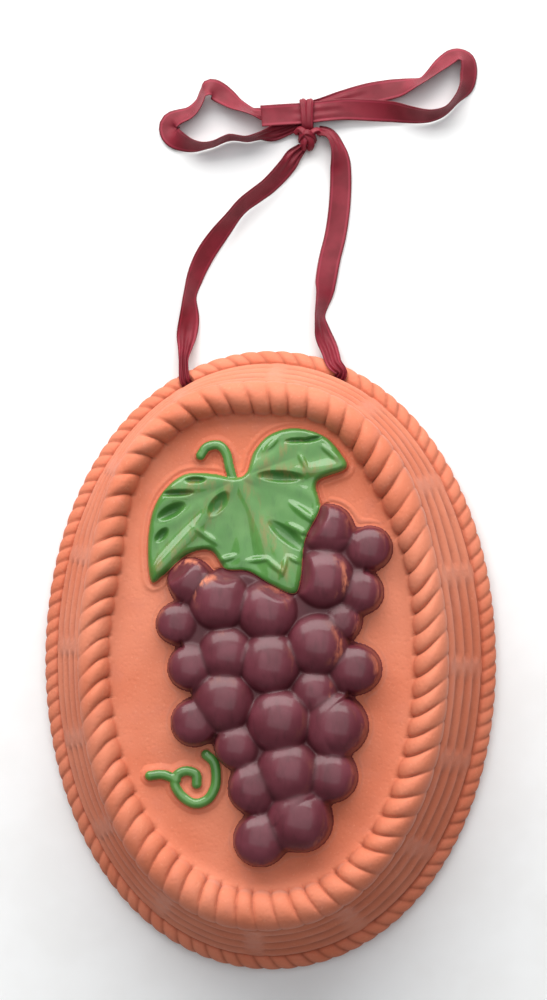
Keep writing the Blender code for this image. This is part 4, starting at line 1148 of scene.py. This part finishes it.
def make_brush_group():
    """Paint put on by hand: how well it covers, its thin streaks and the flow of its surface."""
    group, given, result = new_group("hand_paint", ("Edge", "Thin"), ("Cover", "Streak", "Height"))
    coords = coords_of(group)
    stroke = {"Vector": coords, "Rotation": (0.0, 0.0, 0.5), "Scale": (1.0, 0.3, 1.0)}
    brush = noise(place(group, "ShaderNodeMapping", stroke)[0], 520.0, 3.0, 0.6)
    ragged = calc("ADD", given["Edge"], calc("MULTIPLY_ADD", noise(coords, 700.0), 0.5, -0.25))
    thin = times(given["Thin"], between(brush, 0.42, 0.66))
    cover = times(between(ragged, 0.35, 0.6), calc("SUBTRACT", 1.0, thin))
    flow = calc("MULTIPLY_ADD", noise(coords, 190.0, 1.0), 2.2, times(brush, 0.25))
    fill(result, {"Cover": cover, "Streak": brush, "Height": flow})
    return group


def lay_clay(tree, clay):
    """The bare clay, with painted shade in the grooves and the slip that the mesh is marked with."""
    marks = {"Groove_Shade": mark_of(tree, "groove"), "Slip": mark_of(tree, "wash")}
    return place(tree, "ShaderNodeGroup", marks, node_tree=clay)


def make_clay_material(clay):
    material, tree, shader = new_material("fired_terracotta")
    bare = lay_clay(tree, clay)
    looks = {"Base Color": bare["Color"], "Roughness": bare["Roughness"], "Specular IOR Level": CLAY_SPECULAR}
    fill(shader, looks | {"Normal": normal_of(bare["Height"], 0.55, SURFACE_DEPTH)})
    return material


def make_painted_material(name, clay, brush, colors, wear, gloss):
    """A paint over the clay. colors are its body, a deep tone for brush streaks and for painted shade in
    the valleys, and a light tone; wear how thin it gets, and gloss its roughness with the weight and
    the roughness of its coat."""
    material, tree, shader = new_material(name)
    bare = lay_clay(tree, clay)
    strokes = {"Edge": mark_of(tree, "paint"), "Thin": times(mark_of(tree, "worn"), wear)}
    paint = place(tree, "ShaderNodeGroup", strokes, node_tree=brush)
    cover, pooled_paint_and_shade = paint["Cover"], mark_of(tree, "pooled_paint_and_shade")
    body, deep_tone_and_shade, light = colors
    rough, coat, coat_rough = gloss
    color = blend(between(noise(coords_of(tree), 120.0), 0.35, 0.7), body, light)
    color = blend(between(paint["Streak"], 0.45, 0.75, 0.0, 0.35), color, deep_tone_and_shade)
    # The deep tone in the valleys and dents: painted shade, and between the grapes also paint pooled there
    color = blend(times(pooled_paint_and_shade, 0.75), color, deep_tone_and_shade)
    change = calc("SUBTRACT", paint["Height"], bare["Height"])
    height = calc("MULTIPLY_ADD", cover, change, bare["Height"])
    looks = {
        "Base Color": blend(cover, bare["Color"], color),
        "Roughness": calc("MULTIPLY_ADD", cover, rough - CLAY_ROUGHNESS, CLAY_ROUGHNESS),
        # The coat is thinner in the valleys too: painted shade on the gloss
        "Coat Weight": times(cover, calc("MULTIPLY_ADD", pooled_paint_and_shade, -0.8 * coat, coat)),
        "Coat Roughness": coat_rough,
        "Specular IOR Level": CLAY_SPECULAR,
        "Normal": normal_of(height, 0.5, SURFACE_DEPTH),
    }
    fill(shader, looks)
    return material


def make_satin_material():
    """Burgundy satin: a fine weave, paler lines inside both edges, and a soft sheen."""
    material, tree, shader = new_material("burgundy_satin")
    across, along, _ = place(tree, "ShaderNodeSeparateXYZ", {"Vector": coords_of(tree, "UV")})
    from_middle = calc("ABSOLUTE", calc("MULTIPLY_ADD", across, 2.0, -1.0))
    inner_line = times(between(from_middle, 0.66, 0.78), between(from_middle, 0.9, 0.8))
    cloud = noise(coords_of(tree), 190.0)
    color = blend(between(cloud, 0.35, 0.68), SATIN_BODY, SATIN_DEEP)
    color = blend(times(inner_line, 0.4), color, SATIN_LIGHT)
    color = blend(between(from_middle, 0.9, 0.97, 0.0, 0.6), color, SATIN_DEEP)
    weft = calc("SINE", times(along, 2 * math.pi * 26))
    warp = calc("SINE", times(across, 2 * math.pi * 30))
    weave = calc("MULTIPLY_ADD", weft, 0.6, times(warp, 0.4))
    looks = {
        "Base Color": blend(between(weave, -1.0, 1.0, 0.0, 0.22), color, SATIN_LIGHT),
        "Roughness": between(cloud, 0.3, 0.7, 0.42, 0.56),
        "Specular IOR Level": 0.3,
        "Sheen Weight": 0.06,
        "Sheen Roughness": 0.4,
        "Sheen Tint": (0.9, 0.3, 0.4, 1.0),
        "Normal": normal_of(weave, 0.35, 0.06 * MM),
    }
    fill(shader, looks)
    return material


def make_table_material():
    material, tree, shader = new_material("pale_table")
    grain = noise(coords_of(tree), 40.0, 3.0, 0.6)
    color = blend(between(grain, 0.35, 0.7), (0.86, 0.875, 0.88), (0.83, 0.84, 0.84))
    fill(shader, {"Base Color": color, "Roughness": 0.55})
    return material


CLAY_SURFACE = make_clay_group()
PAINT_SURFACE = make_brush_group()
TERRACOTTA = make_clay_material(CLAY_SURFACE)
SURFACES = (CLAY_SURFACE, PAINT_SURFACE)
GRAPE_PAINT = make_painted_material("grape_paint", *SURFACES, GRAPE_COLORS, 1.0, GRAPE_GLOSS)
LEAF_PAINT = make_painted_material("leaf_paint", *SURFACES, LEAF_COLORS, 0.35, LEAF_GLOSS)
SATIN = make_satin_material()

add_camera()
add_studio()
make_basket(TERRACOTTA)
add_relief(GRAPE_PAINT, LEAF_PAINT)
add_ribbons(SATIN)

ends = TABLE_HALF_WIDTH * np.array(((-1, -1), (1, -1), (1, 1), (-1, 1)))
corners = np.column_stack((ends, np.full(4, TABLE_LEVEL)))
table = make_piece("table", corners, [(0, 1, 2, 3)], make_table_material())
